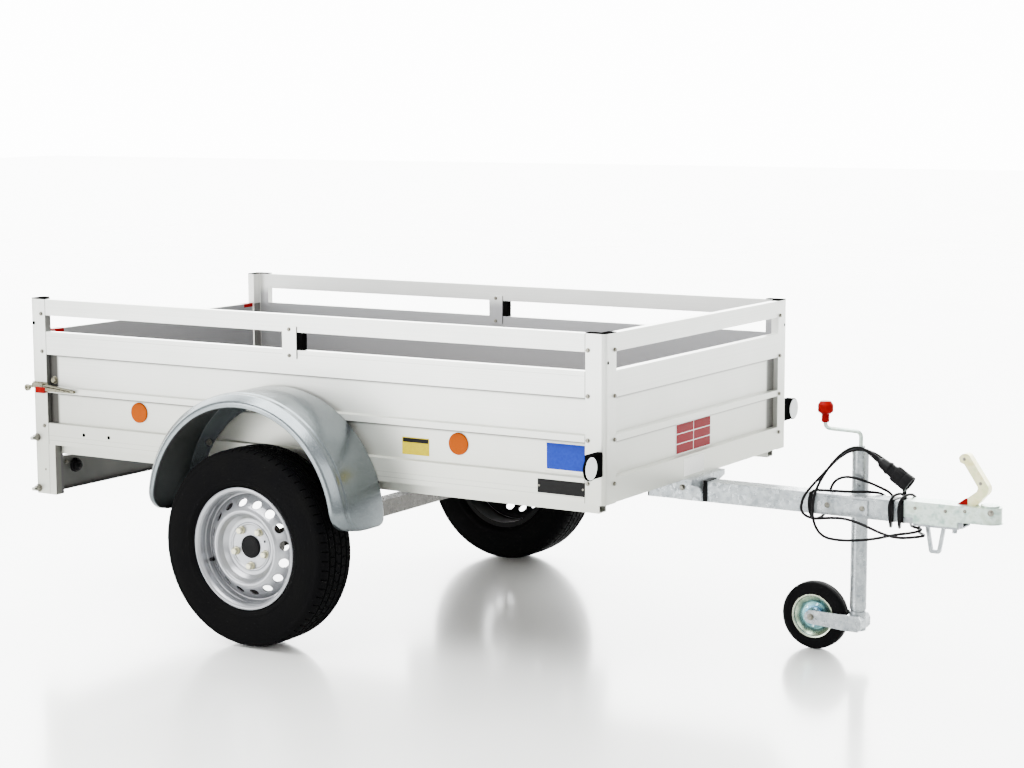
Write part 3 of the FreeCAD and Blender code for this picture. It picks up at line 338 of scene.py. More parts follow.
def lacquer(name, light, dark, shade):
    # sprayed silver: flakes under clear coat, with painted shade in the rim's well
    made, tree, place = begin(name, metallic=0.75, coat=0.3)
    flakes = pattern(tree, place, 0.9, 1)
    colour = add(tree, "ValToRGB", {"stops": {0.35: dark, 0.65: light}}, {0: flakes})
    well = add(tree, "MapRange", ranged(*rimShade["well"], 0.0, 0.8),
               {0: offAxle(tree, place, at(wheel["back"], 0, wheel["height"]))})
    inward = add(tree, "MapRange", ranged(*rimShade["outside"], 1.0, 0.0),
                 {0: apart(tree, place)["side"]})
    wellShade = combined(tree, well, inward)
    colour = add(tree, "Mix", tints, {share: wellShade, under: colour, over: shade}, mixed)
    return finish(made, colour, (flakes, 0.28, 0.38), (pattern(tree, place, 5, 1), 0.06, 0.1))


def plastic(name, light, dark, rough=(0.42, 0.55), strength=0.15, shine=0.06):
    # moulded plastic with the mould's fine texture
    made, tree, place = begin(name, shine=shine)
    cloud = pattern(tree, place, 40, 2)
    colour = add(tree, "ValToRGB", {"stops": {0.3: dark, 0.7: light}}, {0: cloud})
    return finish(made, colour, (cloud, *rough), (pattern(tree, place, 0.8, 2), strength, 0.15))


def rubber(name, light, dark, rough=(0.6, 0.8)):
    # vulcanised rubber: dull bloom and fine pores
    made, tree, place = begin(name, shine=0.02)
    bloom = pattern(tree, place, 70, 4)
    colour = add(tree, "ValToRGB", {"stops": {0.35: dark, 0.7: light}}, {0: bloom})
    return finish(made, colour, (bloom, *rough), (pattern(tree, place, 1.4, 3), 0.25, 0.25))


def lens(name, deep, bright, strength=0.5):
    # clear moulded reflector: rows of 3.2 mm prisms behind a glossy face
    made, tree, place = begin(name, shine=0.03)
    cells = add(tree, "TexVoronoi", {"Scale": 1000 / 3.2, "Randomness": 0.15}, {0: place})
    colour = add(tree, "ValToRGB", {"stops": {0.1: bright, 0.75: deep}}, {0: cells})
    return finish(made, colour, (cells, 0.3, 0.45), (cells, strength, 0.5), span=(0, 1))


def plywood(name):
    # film-faced birch plywood: brown resin film with a pressed hexagon grip of 7 mm
    made, tree, place = begin(name)
    grain = pattern(tree, place, (180, 9, 9), 5)
    grip = add(tree, "TexVoronoi", {"Scale": 1000 / 7, "Randomness": 0.0,
                                    "feature": "DISTANCE_TO_EDGE"}, {0: place})
    colour = add(tree, "ValToRGB", {"stops": {0.3: "3A2A22", 0.7: "4E382B"}}, {0: grain})
    return finish(made, colour, (grain, 0.35, 0.5), (grip, 0.6, 0.5))


def foil(name, colour, shade):
    # printed vinyl foil, slightly uneven ink
    made, tree, place = begin(name, shine=0.1)
    ink = pattern(tree, place, 6, 3)
    tone = add(tree, "ValToRGB", {"stops": {0.3: shade, 0.7: colour}}, {0: ink})
    return finish(made, tone, (ink, 0.45, 0.55), (ink, 0.05, 0.1))


alongX = anodised("aluminium_extruded_along_x", (900, 1.1, 1.1), shade=sideShade)
alongY = anodised("aluminium_extruded_along_y", (1.1, 900, 1.1), shade=frontShade)
alongZ = anodised("aluminium_extruded_along_z", (1.1, 1.1, 900), shade=postShade)
sillMetal = anodised("aluminium_sill_section", (900, 1.1, 1.1), inner=False)
zinc = galvanised("steel_hot_dip_galvanised", "A9AEB0", "767C80")
# darker copy of the galvanised steel: painted shade on the light bar under the body
zincShade = smoothZinc("steel_galvanised_light_bar_painted_shade", "77746D", "5E5B55", rough=(0.45, 0.6))
# darker, browner copy of the galvanised steel: painted shade on the parts under the body
zincUnderShade = galvanised("steel_galvanised_underside_painted_shade", "615F5A", "454340", metallic=0.5, speck=0.1)
fenderZinc = smoothZinc("steel_pressed_zinc_magnesium", "787F82", "62686B", rough=(0.2, 0.3))
# darker copy of the mudguard steel: painted shade on its underside
fenderUnderShade = smoothZinc("steel_mudguard_underside_painted_shade", "4A4C4B", "3B3D3D", rough=(0.5, 0.65))
couplingZinc = plated("steel_pressed_bright_zinc", "8CA399", "BECCC4", "A6B5A6", 22)
rainbowZinc = ringed("steel_rim_blue_passivated", at(*jackAxle), 0.065, {
    0.2: "8FA3AC", 0.4: "41708C", 0.55: "5E8A8C", 0.7: "3D5954", 0.82: "7F9880", 0.95: "B9C2AC"})
creamZinc = plated("steel_handle_yellow_passivated", "C6C088", "D6D2A8", "BFC592", 26)
boltZinc = plated("steel_bolt_zinc_plated", "4C4C48", "7C7A70", "5E5B53", 8)
wheelBoltZinc = plated("steel_wheel_bolt_yellow_zinc", "A9A793", "C4C0A4", "A8A68E", 10)
latchZinc = plated("steel_latch_yellow_zinc", "37352E", "817E6C", "544E43", 9)
silver = lacquer("steel_wheel_silver_lacquer", "9EA0A3", "85868B", "77787B")
blackPlastic = plastic("plastic_black_moulded", "0D0D0E", "070708")
capPlastic = plastic("plastic_cap_black_matt", "080808", "040404", shine=0.0)
redPlastic = plastic("plastic_red_glossy", "7C0002", "640001", rough=(0.25, 0.35), strength=0.04,
                     shine=0.03)
tyreRubber = rubber("rubber_tyre_black", "090909", "050506")
smoothRubber = rubber("rubber_solid_wheel_black", "0D0D0E", "070708", rough=(0.5, 0.68))
cablePlastic = plastic("cable_sheath_black_soft", "0B0B0C", "060607", rough=(0.35, 0.48))
orangeLens = lens("reflector_orange_prisms", "8A3A00", "A34C00")
whiteLens = lens("lamp_white_clear", "D9DCDD", "FFFFFF", strength=0.25)
redLens = lens("lamp_red_ribbed", "6A0003", "A80006")
amberLens = lens("lamp_amber_ribbed", "9C4200", "C25C00")
floorBoard = plywood("plywood_film_faced_brown")
# near-black painted shade on the rim's inner side, seen through the vents
rimInsideShade = plastic("steel_wheel_inside_painted_shade", "131314", "0C0C0D", rough=(0.5, 0.65))
holeDark = plastic("hole_shadow_black", "030303", "010101", rough=(0.8, 0.9), shine=0.0)
print("materials made")


# Dressing of the carried-over solids
nodeFinish = {
    alongX: "side_board_right side_board_left top_rail_right top_rail_left",
    alongY: "front_board top_rail_front tailgate",
    alongZ: "post_front_right post_front_left post_rear_right post_rear_left rail_support_plates",
    sillMetal: "sills",
    zinc: "drawbar drawbar_bracket drawbar_loop jack_clamp jack_clamp_plate jack_tube "
          "jack_inner_tube jack_fork",
    zincShade: "light_bar",
    # painted shade under the body
    zincUnderShade: "cross_members axle_brackets axle_tube swing_arm_right swing_arm_left "
              "hub_right hub_left",
    couplingZinc: "coupling_body",
    creamZinc: "coupling_handle",
    blackPlastic: "drawbar_plugs cable_gland",
    capPlastic: "post_caps rail_support_spacers",
    redPlastic: "tailgate_caps",
    floorBoard: "floor_panel",
}
edgeRound = {  # widths of the rounded edges in millimetres
    1: "drawbar_bracket rail_support_plates light_bar post_caps",
    1.2: "side_board_right side_board_left front_board tailgate",
    1.5: "post_front_right post_front_left jack_fork jack_clamp_plate tailgate_caps",
    2: "top_rail_right top_rail_left top_rail_front jack_clamp rail_support_spacers",
    2.5: "coupling_body sills cross_members",
    3: "coupling_handle",
    4: "axle_tube",
    5: "drawbar",
}


def roundEdges(thing, width, sharp):
    edge = thing.modifiers.new("edge_round", "BEVEL")
    edge.width = width * stepMm
    edge.segments = 2
    edge.limit_method = "ANGLE"
    edge.angle_limit = radians(sharp)


for surface, names in nodeFinish.items():
    for name in names.split():
        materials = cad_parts[name].data.materials
        materials.clear()
        materials.append(surface)
for width, names in edgeRound.items():
    for name in names.split():
        roundEdges(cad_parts[name], width, 40)
print("solids dressed")


# Mesh helpers
def rounded(corners, steps=4):
    # corners (a, b) or (a, b, radius); those with a radius are rounded by short steps
    line = []
    for k, corner in enumerate(corners):
        here = Vector(corner[:2])
        if len(corner) < 3:
            line.append(tuple(here))
            continue
        before = (Vector(corners[k - 1][:2]) - here).normalized()
        after = (Vector(corners[(k + 1) % len(corners)][:2]) - here).normalized()
        half = before.angle(after) / 2
        reach = corner[2] / tan(half)
        centre = here + (before + after).normalized() * corner[2] / sin(half)
        start = here + before * reach - centre
        end = here + after * reach - centre
        sweep = start.angle_signed(end)
        for step in range(steps + 1):
            turn = Matrix.Rotation(-sweep * step / steps, 2)
            line.append(tuple(centre + turn @ start))
    return line


def closeRing(made, first, after):
    # faces between two rings of as many points
    faces = []
    for k in range(len(first)):
        n = (k + 1) % len(first)
        faces.append(made.faces.new((first[k], first[n], after[n], after[k])))
    return faces


def outwards(way, turn):
    # direction square to way, turned about it
    way = way.normalized()
    side = Vector((1, 0, 0)) if abs(way.x) < 0.9 else Vector((0, 0, 1))
    side = (side - way * side.dot(way)).normalized()
    return side * cos(turn) + way.cross(side) * sin(turn)


def spoke(turn):
    # direction from an axle along Y
    return Vector((cos(turn), 0, sin(turn)))


def spin(made, corners, centre, way, steps=96, closed=False):
    # corners (radius, distance) in millimetres, turned about the line through centre
    profile = rounded(corners)
    way = way.normalized()
    rings = []
    for k in range(steps):
        out = outwards(way, 2 * pi * k / steps)
        rings.append([made.verts.new(centre + (out * r + way * d) * stepMm) for r, d in profile])
    count = len(profile)
    for k, first in enumerate(rings):
        second = rings[(k + 1) % steps]
        for j in range(count if closed else count - 1):
            n = (j + 1) % count
            if profile[j][0] > 1e-6 or profile[n][0] > 1e-6:
                made.faces.new([first[j], first[n], second[n], second[j]])
    bmesh.ops.remove_doubles(made, verts=made.verts, dist=1e-7)


def slab(made, corners, low, high, plane="XZ", steps=4):
    # outline in millimetres, pushed from low to high along the third axis
    outline = rounded(corners, steps)
    sheets = []
    for level in sorted((low, high)):
        spots = [(a, level, b) if plane == "XZ" else (level, a, b) for a, b in outline]
        sheets.append([made.verts.new(at(*spot)) for spot in spots])
    closeRing(made, *sheets)
    made.faces.new(sheets[0])
    made.faces.new(list(reversed(sheets[1])))


def oblong(lowA, lowB, highA, highB, radius):
    # corners of a rectangle with rounded corners
    return [(lowA, lowB, radius), (highA, lowB, radius), (highA, highB, radius), (lowA, highB, radius)]


def settle(name, data, body, stands):
    # makes a piece that rides on a body and may stand for a solid
    thing = placed(name, data)
    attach(thing, body)
    if stands:
        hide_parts(stands)
    return thing


def keep(name, made, finishes, body="chassis", sharp=32, soften=0, stands=""):
    # turns the mesh under construction into a piece
    bmesh.ops.recalc_face_normals(made, faces=made.faces)
    for face in made.faces:
        face.smooth = True
    for edge in made.edges:
        if len(edge.link_faces) == 2 and edge.calc_face_angle(0) > radians(sharp):
            edge.smooth = False
    mesh = bpy.data.meshes.new(name)
    made.to_mesh(mesh)
    made.free()
    for surface in finishes if isinstance(finishes, tuple) else (finishes,):
        mesh.materials.append(surface)
    thing = settle(name, mesh, body, stands)
    if soften:
        roundEdges(thing, soften, 35)
    return thing


def wire(name, kind, places, radius, surface, body, stands):
    # round bar through the places (POLY), or a cord with them as control points (NURBS)
    line = bpy.data.curves.new(name, "CURVE")
    line.dimensions = "3D"
    line.bevel_depth = radius * stepMm
    line.bevel_resolution = 5
    line.use_fill_caps = True
    line.resolution_u = 8
    run = line.splines.new(kind)
    run.points.add(len(places) - 1)
    for point, place in zip(run.points, places):
        point.co = (*at(*place), 1)
    if kind == "NURBS":
        run.order_u = 3
        run.use_endpoint_u = True
    else:
        run.use_smooth = True
    line.materials.append(surface)
    return settle(name, line, body, stands)


# Cable, wound round the drawbar; the same points as the solid's
cableRoute = [
    (629, 10, 504), (628, 10, 530), (606, 9, 560), (572, 6, 588), (532, 0, 611),
    (488, -20, 617), (450, -44, 592), (410, -60, 542), (374, -68, 500), (353, -68, 470),
    (346, -66, 428), (384, -66, 412), (430, -66, 421), (484, -68, 425), (540, -74, 414),
    (596, -84, 397), (650, -92, 389), (706, -88, 398), (718, -50, 397), (676, -2, 393),
    (658, 56, 399), (650, 55, 497), (633, -50, 495), (638, -50, 403), (604, 50, 403),
    (582, 51, 484), (541, 42, 503), (497, 31, 520), (448, 29, 528), (408, 36, 513),
    (384, 52, 476), (377, 51, 403), (368, -50, 403), (364, -52, 494), (418, -34, 493),
    (476, -6, 490), (528, 18, 492), (562, 50, 481), (577, 52, 403), (612, -50, 403),
    (604, -50, 495), (620, 50, 496), (632, 52, 404), (654, 6, 406), (700, -24, 408),
    (690, -66, 405), (632, -72, 394), (576, -72, 376), (518, -76, 366), (464, -84, 363),
    (420, -85, 370), (396, -86, 404), (391, -86, 452), (400, -84, 502), (424, -76, 552),
    (458, -62, 600), (490, -50, 625), (519, -43, 627), (536, -42, 618),
]
cord = {"radius": 4, "length": 3.2, "plugAt": (533.5, -42, 620), "plugWay": (131, 2, -88)}


def makePlug():
    made = bmesh.new()
    start = at(*cord["plugAt"])
    way = Vector(cord["plugWay"]).normalized()
    boot = [(0, 0), (5.4, 0)]
    for k in range(9):  # ribs of the strain relief
        reach = 4 + 4.6 * k
        size = 5.6 + 0.36 * k
        boot += [(size, reach), (size, reach + 2.6), (size - 1.2, reach + 3), (size - 1.2, reach + 4.2)]
    boot += [(8.6, 48), (14, 55), (0, 55)]
    spin(made, boot, start, way, 24)
    body = [(0, 54), (13, 54), (15, 57), (16.5, 74), (19.5, 80), (19.5, 84), (17.6, 85),
            (18.2, 98), (19.5, 99), (19.5, 103), (0, 103)]
    spin(made, body, start, way, 12)
    ring = [(17, 102), (23, 102, 1.5), (24, 130, 1), (22.5, 131, 0.6), (24, 133, 0.8),
            (24.6, 157, 1.5), (19, 157), (19, 141), (0, 141)]
    spin(made, ring, start, way, 48)
    ridge = [(0, 106), (2.3, 106), (2.3, 128), (0, 128)]
    pin = [(0, 140), (1.6, 140), (1.6, 152), (0, 153)]
    studs = [(22.6, 45 * k + 10, ridge) for k in range(8)]  # grip ridges on the locking ring
    studs += [(0 if k == 6 else 11, 60 * k, pin) for k in range(7)]  # contact pins in the mouth
    side = Vector((0, 1, 0)).cross(way).normalized()
    for reach, turn, profile in studs:
        turned = Matrix.Rotation(radians(turn), 3, way) @ side
        spin(made, profile, start + turned * reach * stepMm, way, 8)
    return keep("plug_moulded", made, blackPlastic, stands="plug")


straps = {"places": [(357, 369), (600, 614), (629, 643)], "half": 30, "low": 422, "high": 482,
          "inner": 0.3, "outer": 2.2, "corner": 5}


def makeStraps():
    # rubber bands that hold the cable's turns to the drawbar
    made = bmesh.new()
    for ends in straps["places"]:
        rings = []
        for x, off in ((x, straps[side]) for x in ends for side in ("inner", "outer")):
            half = straps["half"] + off
            band = oblong(-half, straps["low"] - off, half, straps["high"] + off, straps["corner"] + off)
            rings.append([made.verts.new(at(x, y, z)) for y, z in rounded(band, steps=5)])
        for first, second in ((0, 1), (1, 3), (3, 2), (2, 0)):
            closeRing(made, rings[first], rings[second])
    keep("cable_straps", made, cablePlastic)


cable = wire("cable_line", "NURBS", cableRoute, cord["radius"], cablePlastic, "chassis",
             "cable")
plug = makePlug()
makeStraps()
print("cable laid")


# Wheels: tyre with tread, spun rim, bolts, cap and valve
sides = {"right": -1, "left": 1}
tyre = {"radius": 295, "pitches": 66, "deep": 7}
lanes = [0, 5, 10.4, 10.8, 17.2, 17.6, 23, 29, 36.4, 36.8, 43.2, 43.6, 49, 56, 62, 66, 70, 74]
laneGrooves = [(10.6, 17.4), (36.6, 43.4)]
pitchSteps = [0.0, 0.03, 0.11, 0.14, 0.5, 0.53, 0.61, 0.64]
# radius and half width from the shoulder down to the bead, with moulded rings
sidewall = [(281, 76.6), (276, 78.4), (271, 79.6), (269.5, 79.2), (264, 80.3), (258, 81.2), (250, 82),
            (240, 82.4), (230, 82.3), (219, 81.5), (210, 80.2), (204, 79.2), (202.5, 79.8),
            (198, 78.9), (195, 77), (191.5, 74.6), (187, 71), (184, 67), (183, 64.2), (172.2, 64)]


def crown(u):
    # tread radius across the tyre, falling away at the shoulders
    return tyre["radius"] - 1.2 * (u / 45) ** 2 - max(0, u - 52) ** 2 * 0.017


def treadDepth(u, part):
    if any(low < u < high for low, high in laneGrooves):
        return tyre["deep"]
    shoulder = 44 < u < 68 and 0.02 < part < 0.12
    middle = 18 < u < 36 and 0.52 < part < 0.62
    centre = u < 10.5 and 0.02 < part < 0.12
    return tyre["deep"] * (0.8 if shoulder or middle else 0.5 if centre else 0)


def makeTyre(side, sign, body):
    made = bmesh.new()
    centre = at(wheel["back"], sign * wheel["side"], wheel["height"])
    half = [(u, crown(u), u) for u in lanes] + [(u, r, None) for r, u in sidewall]
    columns = [(-u, r, lane) for u, r, lane in reversed(half)][:-1] + half
    rings = []
    for pitch in range(tyre["pitches"]):
        for part in pitchSteps:
            ring = []
            for u, r, lane in columns:
                lean = (0.45 if lane is None else 0.45 * lane / 70) + (0.25 if u < 0 else 0)
                turn = 2 * pi * (pitch + part + lean) / tyre["pitches"]
                size = r - (0 if lane is None else treadDepth(lane, part))
                spot = spoke(turn) * size + Vector((0, u, 0))
                ring.append(made.verts.new(centre + spot * stepMm))
            rings.append(ring)
    for k, ring in enumerate(rings):
        closeRing(made, ring, rings[(k + 1) % len(rings)])
    keep("tyre_tread_" + side, made, tyreRubber, body, sharp=38, stands="tyre_" + side)


rim = {
    "section": [
        (182.2, 70.6, 0.8), (182.2, 64), (173.5, 64), (172, 60), (172, -64), (182.2, -64),
        (182.2, -68), (166, -68), (166, 18, 3), (153, 22, 4), (120, 52, 5), (113, 57, 3), (107, 57, 3),
        (99, 46, 6), (87, 27, 5), (29, 27), (29, 32), (50, 32), (65, 32, 2), (67, 34.5, 1.5),
        (71, 34.5, 1.5), (73, 32, 2), (84, 32, 8), (96, 44, 12), (103, 61, 4), (107.5, 63, 2),
        (112, 63, 3), (120, 58, 4), (150, 30, 5), (157, 24, 3), (161, 24, 2), (163, 40, 3),
        (166, 44, 2), (167, 62, 4), (171, 69, 3), (177, 72.3, 3),
    ],
    "vents": 16, "ventRadius": 14.5, "ventCircle": 134, "ventOut": 44, "boltCircle": 57, "bolts": 5,
    "washer": [(0, 31), (13, 31), (13, 33), (11.5, 35.5), (0, 35.5)],
    "head": [(0, 35), (10.6, 35), (10.6, 46), (8.6, 48.6), (0, 48.6)],
    "cap": [(0, 27), (28.8, 27), (28.8, 32), (34, 32, 0.5), (34, 36, 1.5), (30, 38.5, 1),
            (27, 37.6, 1), (24, 38.2, 1), (0, 38.2)],
    "valve": [(0, -4), (6.5, -4), (6, 3, 1), (4.4, 5), (4.2, 18, 0.5), (4.8, 19), (4.8, 28, 1), (0, 28)],
    "valveTurn": 200, "valveCircle": 158, "valveOut": 26,
}


def carve(thing, holes):
    # takes the holes out of the piece and leaves a plain mesh
    bmesh.ops.recalc_face_normals(holes, faces=holes.faces)
    mesh = bpy.data.meshes.new("holes")
    holes.to_mesh(mesh)
    holes.free()
    cutter = placed("holes", mesh)
    change = thing.modifiers.new("carve", "BOOLEAN")
    change.operation = "DIFFERENCE"
    change.solver = "EXACT"
    change.object = cutter
    bpy.context.view_layer.update()
    ready = thing.evaluated_get(bpy.context.evaluated_depsgraph_get())
    plain = bpy.data.meshes.new_from_object(ready)
    thing.modifiers.remove(change)
    thing.data = plain
    bpy.data.objects.remove(cutter)


def makeRim(side, sign, body):
    way = Vector((0, sign, 0))
    centre = at(wheel["back"], sign * wheel["side"], wheel["height"])
    made = bmesh.new()
    spin(made, rim["section"], centre, way, 128, closed=True)
    disc = keep("rim_spun_" + side, made, silver, body, stands="rim_" + side)
    holes = bmesh.new()
    size = rim["ventRadius"]
    for k in range(rim["vents"]):
        out = spoke(2 * pi * k / rim["vents"] + radians(8))
        spot = centre + (out * rim["ventCircle"] + way * rim["ventOut"]) * stepMm
        spin(holes, [(0, -14), (size, -14), (size, 14), (0, 14)], spot, out * 0.69 + way * 0.72, 24)
    spin(holes, [(0, 20), (4, 20), (4, 40), (0, 40)], centre + Vector((51, 0, 20)) * stepMm, way, 16)
    carve(disc, holes)
    disc.data.materials.append(rimInsideShade)
    # the inner side and the walls that face inwards take the painted shade
    for face in disc.data.polygons:
        spot = (face.center - centre) / stepMm
        reach = hypot(spot.x, spot.z)
        if spot.dot(way) < 17 or face.normal.dot(way) < -0.15 and reach < 165:
            face.material_index = 1
    roundEdges(disc, 0.9, 50)
    bolts = bmesh.new()
    for k in range(rim["bolts"]):
        spot = centre + spoke(radians(72 * k - 90)) * rim["boltCircle"] * stepMm
        spin(bolts, rim["washer"], spot, way, 24)
        spin(bolts, rim["head"], spot, way, 6)
    keep("wheel_bolts_" + side + "_hex", bolts, wheelBoltZinc, body,
         stands="wheel_bolts_" + side)
    cap = bmesh.new()
    spin(cap, rim["cap"], centre, way, 64)
    keep("hub_cap_" + side + "_moulded", cap, blackPlastic, body,
         stands="hub_cap_" + side)
    valve = bmesh.new()
    out = spoke(radians(rim["valveTurn"]))
    root = centre + (out * rim["valveCircle"] + way * rim["valveOut"]) * stepMm
    spin(valve, rim["valve"], root, way - out * 0.45, 20)
    keep("valve_" + side, valve, blackPlastic, body)


for side, sign in sides.items():
    makeTyre(side, sign, "wheel_" + side)
    makeRim(side, sign, "wheel_" + side)
print("wheels made")


# Mudguards: pressed half-round shells with a rolled lip
guard = {"back": -1104, "height": 384, "radius": 370, "inner": 588, "flat": 640, "outer": 800,
         "sheet": 2, "corner": 74, "innerCorner": 22, "overrun": 2}


def cornerDrop(size, along):
    # how far a corner of this radius is drawn in, so far from the sheet's end
    return size - sqrt(size ** 2 - max(0, size - along) ** 2)


def makeGuard(side, sign):
    made = bmesh.new()
    out = guard["outer"]
    size = guard["radius"]
    near = guard["inner"]
    flat = guard["flat"]
    top = rounded([(size - 54, near), (size - 0.2, near, 3), (size - 0.2, out - 44, 4),
                   (size - 3.4, out - 38, 4), (size - 3.4, out - 24, 9), (size - 24, out - 0.4, 14),
                   (size - 39.8, out - 0.4, 2), (size - 39.8, out - 7)], steps=5)
    shell = top + [(r - guard["sheet"] * 0.8, u - guard["sheet"]) for r, u in reversed(top[1:-1])]
    centre = at(guard["back"], 0, guard["height"])
    low = guard["overrun"]  # degrees that each end reaches below the level of the centre
    turns = ([k - low for k in range(15)] + [14.5 + 2.5 * k for k in range(61)]
             + [166 + low + k for k in range(15)])
    rings = []
    for turn in turns:
        along = radians(min(turn, 180 - turn) + low) * size
        drop = cornerDrop(guard["corner"], along)  # the lower corners are rounded
        lift = cornerDrop(guard["innerCorner"], along)
        ring = []
        for r, u in shell:
            outer = min(1, max(0, (u - flat) / (out - 50 - flat)))
            inner = min(1, max(0, (flat - u) / (flat - near)))
            wide = (u - drop * outer + lift * inner) * sign
            spot = spoke(radians(turn)) * r + Vector((0, wide, 0))
            ring.append(made.verts.new(centre + spot * stepMm))
        rings.append(ring)
    for first, after in zip(rings, rings[1:]):
        # the underside's faces take the painted-shade copy
        for face in closeRing(made, first, after)[len(top) - 1:]:
            face.material_index = 1
    made.faces.new(rings[0])
    made.faces.new(list(reversed(rings[-1])))
    keep("fender_pressed_" + side, made, (fenderZinc, fenderUnderShade), sharp=40,
         stands="fender_" + side)


for side, sign in sides.items():
    makeGuard(side, sign)
print("mudguards made")


# Fasteners: steps and profiles of each kind
hexBolt = [(24, [(0, 0), (7.5, 0), (7.5, 1.4), (0, 1.4)]),
           (6, [(0, 1.2), (5.9, 1.2), (5.9, 5.4), (4.9, 6.2), (0, 6.2)])]
domeBolt = [(24, [(0, 0), (8.5, 0), (7.6, 2.2), (5, 3.8), (0, 4.6)])]
rivet = [(16, [(0, 0), (4, 0), (3.4, 1.2), (0, 1.9)])]
drainHole = [(20, [(0, -1), (5, -1), (5, 0.25), (0, 0.25)])]
studNut = [(28, [(0, 0), (13, 0), (13, 2.2), (0, 2.2)]),
           (6, [(0, 2), (10.5, 2), (10.5, 10), (8.8, 11), (0, 11)]),
           (6, [(0, 11), (9.5, 11), (9.5, 15), (8.4, 17), (0, 17)])]
sideways = (0, 1, 0)
inwards = (0, -1, 0)
forwards = (1, 0, 0)
boltRows = [  # kind, size and places on the left side, and the way if it isn't sideways
    (hexBolt, 0.85, [(-54, postFace, z) for z in (922, 796, 674, 555)]),
    (hexBolt, 0.85, [(0, 535, z) for z in (922, 795, 674, 552)], forwards),
    (hexBolt, 0.85, [(-2068, postFace, z) for z in (921, 800, 559)]),
    (rivet, 1, [(-2068, postFace, 416)]),
    (hexBolt, 0.8, [(-1069, 591, 925), (-1069, 591, 847)]),
    (hexBolt, 0.8, [(-1069, 558, 925), (-1069, 558, 847)], inwards),
    (hexBolt, 1.4, [(-1382, 590, 561), (-826, 590, 561)]),
    (domeBolt, 1, [(414.5, 36, 451), (520.6, 36, 451)]),
    (hexBolt, 1.25, [(-47, 34, 459)]),
    (rivet, 1.3, [(677, 33, 467), (765, 33, 467), (821, 33, 472)]),
    (domeBolt, 1.1, [(894, 31, 474)]),
    (rivet, 1.3, [(809, 13.6, 614), (857, 13.6, 550)]),
    (hexBolt, 1.2, [(-975, 620, 347)]),
]
holeRows = [
    (drainHole, 1, [(0, 571, 889)], forwards),
    (drainHole, 1.2, [(-2101, postFace, 890), (-1899.5, postFace, 541), (-1794.6, postFace, 541)]),
]
studRows = [(studNut, 1, [(-2100, postFace, 519), (-2100, postFace, 353)])]


def fasten(made, parts, place, way, size=1.0):
    for steps, profile in parts:
        spin(made, [(r * size, d * size) for r, d in profile], at(*place), Vector(way), steps)


def makeRows(name, rows, surface):
    # the right side mirrors the left
    made = bmesh.new()
    for sign in (-1, 1):
        for parts, size, places, *ways in rows:
            way = ways[0] if ways else sideways
            for x, y, z in places:
                if parts is domeBolt and sign < 0 and y == 36:
                    y = 35  # the drawbar's right side stands a little nearer
                fasten(made, parts, (x, sign * y, z), (way[0], sign * way[1], 0), size)
    keep(name, made, surface)


makeRows("fasteners_chassis", boltRows, boltZinc)
makeRows("holes_dark", holeRows, holeDark)
makeRows("stud_nuts", studRows, boltZinc)
print("fasteners made")


# Latches on the rear posts
latch = {
    "plate": [(-2112, 686, 3), (-2047, 668, 3), (-2047, 701, 3), (-2112, 701, 3)],
    "block": [(-2104, 684, 2), (-2060, 676, 2), (-2060, 696, 2), (-2104, 697, 2)],
    "cheek": [(-2058, 675, 2), (-1930, 673, 4), (-1923, 677.5, 3), (-1930, 682, 4),
              (-2040, 694, 3), (-2058, 692, 3)],
    "web": [(-2058, 673.6), (-1930, 673.2), (-1930, 675), (-2058, 675.6)],
    "slot": [(-2052, 686.5), (-1938, 678), (-1938, 680), (-2044, 689.5)],
    "lock": [(-2088, 667, 3), (-2050, 667, 3), (-2046, 685, 3), (-2086, 687, 3)],
    "ring": [(4.5, 3), (11, 3, 1.5), (11, 13, 1.5), (4.5, 13)],
}


def makeLatches():
    metal = bmesh.new()
    red = bmesh.new()
    slot = bmesh.new()
    layers = [(metal, "plate", 0.2, 3.2), (metal, "block", 3, 15.5), (metal, "cheek", 4, 6),
              (metal, "cheek", 13, 15), (metal, "web", 4, 15), (slot, "slot", 14, 15.4),
              (red, "lock", 3, 18)]
    for sign in (-1, 1):
        face = sign * postFace
        for made, part, near, far in layers:
            slab(made, latch[part], face + sign * near, face + sign * far)
        spin(metal, latch["ring"], at(-2129, face, 680), Vector((0, sign, 0)), 28, closed=True)
        spin(metal, [(0, 0), (3.6, 0), (3.6, 50), (0, 50)], at(-2120, face + sign * 8, 686),
             Vector((1, 0, 0.08)), 12)
        spin(metal, [(0, 0), (3.2, 0), (3.2, 22), (0, 22)], at(-2128, face + sign * 8, 680),
             Vector((0, -sign, 0)), 12)
        fasten(metal, hexBolt, (-2031, sign * sheetFace, 708), (0, sign, 0), 1.7)
    keep("latch_metal", metal, latchZinc, soften=0.5, stands="latches")
    keep("latch_slot", slot, holeDark)
    keep("latch_lock", red, redPlastic, soften=0.6)


makeLatches()


# Lamps, reflectors and blank labels
reflector = [(0, 0), (32, 0), (32, 4.8, 1), (29.4, 6, 0.6), (28.6, 5.4), (0, 5.4)]
markerShell = [(0, -8), (31, -8, 2), (34, -6, 1), (34, 0.4, 1), (31.6, 1.4, 0.5), (31.4, 0), (0, 0)]
markerLens = [(0, -1), (31, -1), (31, 1.6, 1), (27, 2.8, 2), (0, 3)]


def makeSideLamps():
    glass = bmesh.new()
    shell = bmesh.new()
    clear = bmesh.new()
    for sign in (-1, 1):
        for x in (-1676, -484):
            spin(glass, reflector, at(x, sign * sheetFace, 628), Vector((0, sign, 0)), 64)
        centre = at(-4, sign * 657, 611)
        spin(shell, markerShell, centre, Vector(forwards), 64)
        spin(clear, markerLens, centre, Vector(forwards), 64)
        slab(shell, oblong(-27, 578, -6, 646, 3), sign * 588, sign * 652)
    keep("reflectors_round", glass, orangeLens, stands="side_reflectors")
    keep("marker_lenses", clear, whiteLens)
    keep("marker_housings", shell, capPlastic, soften=0.8, stands="front_markers")


